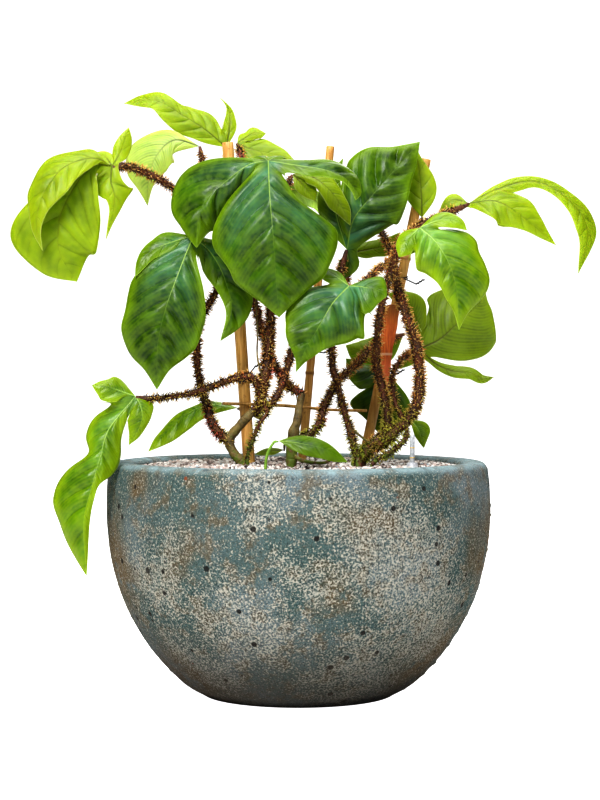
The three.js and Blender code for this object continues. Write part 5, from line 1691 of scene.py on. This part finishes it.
@dataclass
class Supports:
    """Three bamboo canes, a cross stick and the wire ties."""

    sides: int = 24
    ring_spacing: float = 150.0
    canes: tuple[tuple[str, Point, Point, float], ...] = (
        ("cane_left", (-88, -10, 686), (-59, -10, 250), 7.5),
        ("cane_middle", (41, 70, 690), (1, 70, 250), 5.5),
        ("cane_right", (161, 25, 669), (74, 25, 250), 6.5),
    )
    stick: tuple[Point, ...] = ((-94, -27, 362), (-20, -9, 359), (40, 4, 353.5), (86, 15, 352))
    stick_radii: tuple[float, ...] = (1.9, 2.1, 1.8, 1.9)
    ties: tuple[tuple[str, int, tuple[Point, ...]], ...] = (
        ("tie_left", 0, ((-79, -20, 392), (-71, -20, 387), (-63, -20, 396), (-54, -25, 407))),
        ("tie_middle", 1, ((9, 62, 423), (17, 61, 425), (25, 62, 426), (33, 60, 425))),
        ("tie_right_low", 2, ((96, 16, 393), (103, 16, 394), (111, 16, 396), (123, 10, 398))),
        ("tie_right_high", 2, ((112, 12, 512), (122, 15, 517), (132, 16, 518), (148, 12, 511))),
    )

    def build(self) -> None:
        """Makes the canes, the stick and the ties."""
        bamboo = BambooFinish().material()
        for node, *line in self.canes:
            finish_piece(f"{node}_bamboo", self.cane(*line), bamboo, "bamboo", node)
        stick = wire(self.stick, self.stick_radii, 8, 4.0)
        finish_piece("cross_stick_split", stick, bamboo, "bamboo", "cross_stick")
        black = self.wire_material()
        for node, cane, path in self.ties:
            tie = self.tie(path, *self.canes[cane][1:])
            finish_piece(f"{node}_wire", tie, black, "wire_tie", node)

    def cane(self, top: Point, foot: Point, radius: float) -> bpy.types.Mesh:
        """A cane with swollen rings and a hollow cut end.

        Args:
            top: The middle of the cut end.
            foot: The middle of the foot.
            radius: Its radius in millimetres.

        Returns:
            The mesh, with the attribute ring.
        """
        size = float(np.linalg.norm(np.array(top, float) - np.array(foot)))
        rings = np.arange(self.ring_spacing, size - 20, self.ring_spacing)
        steps = np.arange(4, size - 2, 6.0).tolist()
        steps += [ring + d for ring in rings for d in (-5, -2.5, -1, 0, 1.2, 3, 6)]
        profile, marks = [(0.0, 0.0), (radius, 0.0)], [0.0, 0.0]
        for s in sorted(steps):
            gap = np.abs(rings - s).min()
            near, waist = (float(np.exp(-((gap / reach) ** 2))) for reach in (2.2, 9.0))
            wave = 0.02 * noise.noise(Vector((s * 0.03, radius, 0)))
            profile.append((radius * (1 - 0.06 * waist + 0.17 * near + wave - 0.05 * s / size), s))
            marks.append(near)
        rim = radius * 0.93
        profile += [(rim, size - 0.6), (rim - 0.5, size), (rim * 0.5, size - 0.3)]
        profile += [(rim * 0.42, size - 6), (0.0, size - 6.5)]
        marks += [0.15, 0.35, 0.5, 1.0, 1.0]
        body = lathe(profile, self.sides, foot, top)
        rows = np.zeros((len(body[0]), 3))
        rows[:, 0] = np.repeat(marks, [self.sides if r else 1 for r, _ in profile])
        return mesh_of("cane", body, ring=rows)

    def tie(self, path: tuple[Point, ...], top: Point, foot: Point, radius: float) -> Body:
        """A wire tie: the arc of its node, a loop round the cane and a twisted end.

        Args:
            path: The arc's points.
            top: The top of its cane.
            foot: The foot of its cane.
            radius: The radius of its cane.

        Returns:
            The three bodies in one.
        """
        share = (path[1][2] + 1.5 - foot[2]) / (top[2] - foot[2])
        centre = np.array(foot) + share * (np.array(top, float) - np.array(foot))
        reach = radius + 1.2
        loop, twist = [], []
        for k in range(17):
            c, s = (f(2 * math.pi * k / 16) for f in (math.cos, math.sin))
            loop.append(centre + (reach * c, reach * s, 1.6 * s + 0.16 * k))
        for k in range(13):
            c, s = (f(2 * math.pi * k / 4) for f in (math.cos, math.sin))
            out = np.array((0.9 * k, -0.35 * k, 0.55 * k)) * 0.9
            twist.append(np.array(path[-1], float) + out + (0, c * 0.9, s * 0.9))
        return joined(wire(path, (0.85, 0.85)), wire(loop, (0.8, 0.8)), wire(twist, (1.0, 0.9)))

    def wire_material(self) -> bpy.types.Material:
        """Black coated wire, a little scuffed."""
        return coated("wire_tie", "3a3b3d", "141517", (700, 0.5, 0.7), (0.35, 0.6))


def coated(
    name: str, worn: str, clean: str, wear: tuple[float, float, float], gloss: tuple[float, float]
) -> bpy.types.Material:
    """A plastic between two close colours.

    Args:
        name: The material's name.
        worn: Its colour where it is worn.
        clean: Its own colour.
        wear: The scale of the worn patches, and the noise where they start and are whole.
        gloss: The roughness where it is worn, and where it isn't.

    Returns:
        The material.
    """
    skin = Skin(name)
    share = skin.patches(wear[0], 3, *wear[1:])
    return skin.finished(skin.mix(share, clean, worn), (share, *gloss))


@dataclass
class DryScale:
    """The dry papery scale in front of the right cane, with a ring two thirds down."""

    points: tuple[Point, ...] = (
        (116, 10, 484), (113, 10, 452), (110, 10, 425), (109, 12, 396), (107, 14, 370),
    )
    widths: tuple[float, ...] = (11.5, 10, 7.5, 5.5, 0.8)
    depth: float = 0.32
    sides: int = 28
    rows: int = 70
    ring_at: float = 0.52
    ring_height: float = 0.4232

    def build(self) -> None:
        """Makes the scale and dresses it."""
        share = np.linspace(0, 1, self.rows + 1)
        centre = along(self.points, share)
        half = along(self.widths, share)
        half = half * (1 + 0.10 * np.exp(-(((share - self.ring_at) / 0.014) ** 2)))
        angle = np.arange(self.sides) * 2 * math.pi / self.sides
        pleats = 1 + 0.035 * np.sin(9 * angle)[None] * np.sin(math.pi * share)[:, None]
        pleats = pleats + 0.02 * np.sin(40 * share)[:, None]
        x = centre[:, 0:1] + half[:, None] * np.cos(angle)[None] * pleats
        y = centre[:, 1:2] + self.depth * half[:, None] * np.sin(angle)[None] * pleats
        z = np.repeat(centre[:, 2:3], self.sides, 1)
        z = z + 1.5 * np.sin(3 * angle)[None] * (share[:, None] < 0.01)
        points = np.stack([x, y, z], -1).reshape(-1, 3)
        cells, grid = band(len(share), self.sides)
        faces = [*cells[:, (0, 3, 2, 1)].tolist(), grid[0].tolist(), grid[-1, ::-1].tolist()]
        name = "dry_scale_skin"
        finish_piece(name, (points, faces), self.material(name), name, "dry_scale")

    def material(self, name: str) -> bpy.types.Material:
        """Orange-brown paper with long fibres, paler at its ring, and lighter towards its tip: partly its
        own colour, partly painted light over the stem's shade.

        Args:
            name: The material's name.

        Returns:
            The material.
        """
        skin = Skin(name)
        fibre = skin.stretched(0.08, 600, 0.35, 0.65)
        ring = skin.math("ABSOLUTE", skin.math("SUBTRACT", skin.height, self.ring_height))
        base = skin.over(
            skin.mix(fibre, "b4501c", "e07c38"),
            (skin.times(skin.patches(50, 3, 0.4, 0.62), 0.4), "b0601c"),
            (skin.mapped(skin.height, 0.45, 0.482, 0.75), "6a4a14"),
            # Lighter orange towards the tip: partly its own colour, partly painted light over the stem's
            # shade.
            (skin.times(skin.mapped(skin.height, 0.405, 0.426, 0, 1), 0.7), "ff8a58"),
            (skin.mapped(ring, 0.0008, 0.0022, 0, 0.65), "e7c39a"),
        )
        return skin.finished(base, (fibre, 0.75, 0.5), (0.6, 0.0006, fibre))


@dataclass
class WaterGauge:
    """The clear tube of the water gauge with its marks, its red float and its collar."""

    place: Point = (138, -75, 250)
    radius: float = 3.0
    bore: float = 2.0
    height: float = 75.0
    marks: tuple[float, ...] = (58.5, 46.5)

    def build(self) -> None:
        """Makes the gauge."""
        r, top = self.radius, self.height
        tube = (
            (0, top - 3), (self.bore, top - 3.2), (self.bore, 0), (r, 0), (r, top - 1.2),
            (r - 0.5, top - 0.3), (r - 1.2, top), (0, top),
        )
        collar = (
            (3.4, 33), (7.9, 33), (8, 34.4), (7.6, 35.6), (7.2, 36), (6.6, 40.2), (6.2, 41),
            (4.4, 41), (3.4, 40.6), (3.4, 33),
        )
        bob = ((0, 12), (1.0, 12), (1.4, 12.6), (1.4, 42.4), (1.0, 43), (0, 43))
        plastic = {
            name: coated(name, worn, clean, (500, 0.4, 0.65), (0.3, 0.5))
            for name, worn, clean in (
                ("gauge_grey", "9a9b9f", "b9babd"), ("gauge_red", "b8261c", "d24a35"),
                ("gauge_marks", "c9a034", "dcbc62"),
            )
        }
        for name, profile, sides, material, slot, node in (
            ("gauge_tube_clear", tube, 32, self.clear(), "gauge_plastic", "gauge_tube"),
            ("gauge_collar_ring", collar, 32, plastic["gauge_grey"], "gauge_plastic", "gauge_collar"),
            ("gauge_float_bob", bob, 20, plastic["gauge_red"], "gauge_red", "gauge_float"),
        ):
            finish_piece(name, lathe(profile, sides, self.place), material, slot, node)
        bands = (
            ((3.05, m), (3.2, m + 0.1), (3.2, m + 1.0), (3.05, m + 1.1), (3.05, m)) for m in self.marks
        )
        marks = joined(*(lathe(profile, 24, self.place) for profile in bands))
        finish_piece("gauge_marks", marks, plastic["gauge_marks"], "gauge_plastic")

    def clear(self) -> bpy.types.Material:
        """Clear plastic that has gone a little milky.

        Returns:
            The material.
        """
        skin = Skin("gauge_clear")
        haze = skin.patches(300, 3, 0.4, 0.65)
        skin.set(skin.shader.inputs["Alpha"], skin.mapped(haze, 0, 1, 0.62, 0.8))
        return skin.finished(skin.mix(haze, "c4c7ca", "aeb2b6"), (haze, 0.35, 0.5))


@dataclass
class Studio:
    """The camera of the photograph, a pale floor and soft light."""

    camera_at: Point = (0.0, -2.5, 0.407)
    aim: Point = (0.0019, 0.0, 0.36575)
    lens: float = 90.0
    far: float = 60.0
    floor_size: float = 14.0
    floor_glow: float = 0.85
    ambient: float = 0.14
    middle: Point = (0, 0, 0.4)
    lights: tuple[tuple[str, Point, float, float], ...] = (
        ("key", (-0.8, -2.0, 2.1), 1.0, 74),
        ("fill", (1.6, -2.6, 0.9), 1.8, 15),
        ("overhead", (0.2, -0.2, 2.6), 1.8, 46),
        ("back", (0.6, 2.6, 1.6), 1.8, 26),
    )

    def build(self) -> None:
        """Makes the camera, the floor, the lights and the world."""
        scene = bpy.context.scene
        scene.view_settings.view_transform = "Standard"
        scene.view_settings.look = "High Contrast"
        data = bpy.data.cameras.new("camera")
        data.lens = self.lens
        data.clip_end = self.far
        scene.camera = self.aimed("camera", data, self.camera_at, self.aim)
        self.floor()
        for name, at, size, power in self.lights:
            data = bpy.data.lights.new(name, "AREA")
            data.size = size
            data.energy = power
            self.aimed(name, data, at, self.middle)
        scene.world = bpy.data.worlds.new("studio")
        scene.world.use_nodes = True
        graph = Graph(scene.world.node_tree)
        seen = graph.add("ShaderNodeLightPath")
        strength = graph.mapped(seen, 0, 1, 1, self.ambient)
        sky = graph.add("ShaderNodeBackground", {"Color": "fdfdfe", "Strength": strength})
        graph.add("ShaderNodeOutputWorld", {0: sky})

    def floor(self) -> None:
        """Makes the floor, which shines a little for the camera alone."""
        half = self.floor_size / 2 / MM
        corners = np.array([(-half, -half, 0), (half, -half, 0), (half, half, 0), (-half, half, 0)])
        floor = make_object("floor", mesh_of("floor", (corners, [[0, 1, 2, 3]])))
        skin = Skin("floor")
        skin.set(skin.shader.inputs["Emission Color"], skin.add("ShaderNodeLightPath"))
        plain = {"Emission Strength": self.floor_glow, "Specular IOR Level": 0.1}
        tone = skin.mix(skin.patches(3, 2, 0.3, 0.7), "f4f3f1", "f8f7f5")
        floor.data.materials.append(skin.finished(tone, 0.9, (), plain))
        floor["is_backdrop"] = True

    def aimed(self, name: str, data: Any, at: Point, aim: Point) -> bpy.types.Object:
        """A camera or a light that faces a point.

        Args:
            name: The object's name.
            data: The camera's or the light's data.
            at: Where it stands.
            aim: What it faces.

        Returns:
            The linked object.
        """
        made = make_object(name, data)
        made.location = at
        made.rotation_euler = (Vector(aim) - Vector(at)).to_track_quat("-Z", "Y").to_euler()
        return made


def main() -> None:
    """Builds every piece in order, then the studio round them."""
    logging.basicConfig(level=logging.INFO, format="%(message)s")
    for kind in (Planter, Filling, Supports, DryScale, WaterGauge, Climber, Foliage, Studio):
        kind().build()
        LOG.info("built %s", kind.__name__)
    bpy.context.view_layer.update()
    sizes = {"at_start": BOUNDS_AT_START, "at_end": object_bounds()}
    plain = {k: [[float(c) for c in corner] for corner in v] for k, v in sizes.items()}


if __name__ == "__main__":
    main()
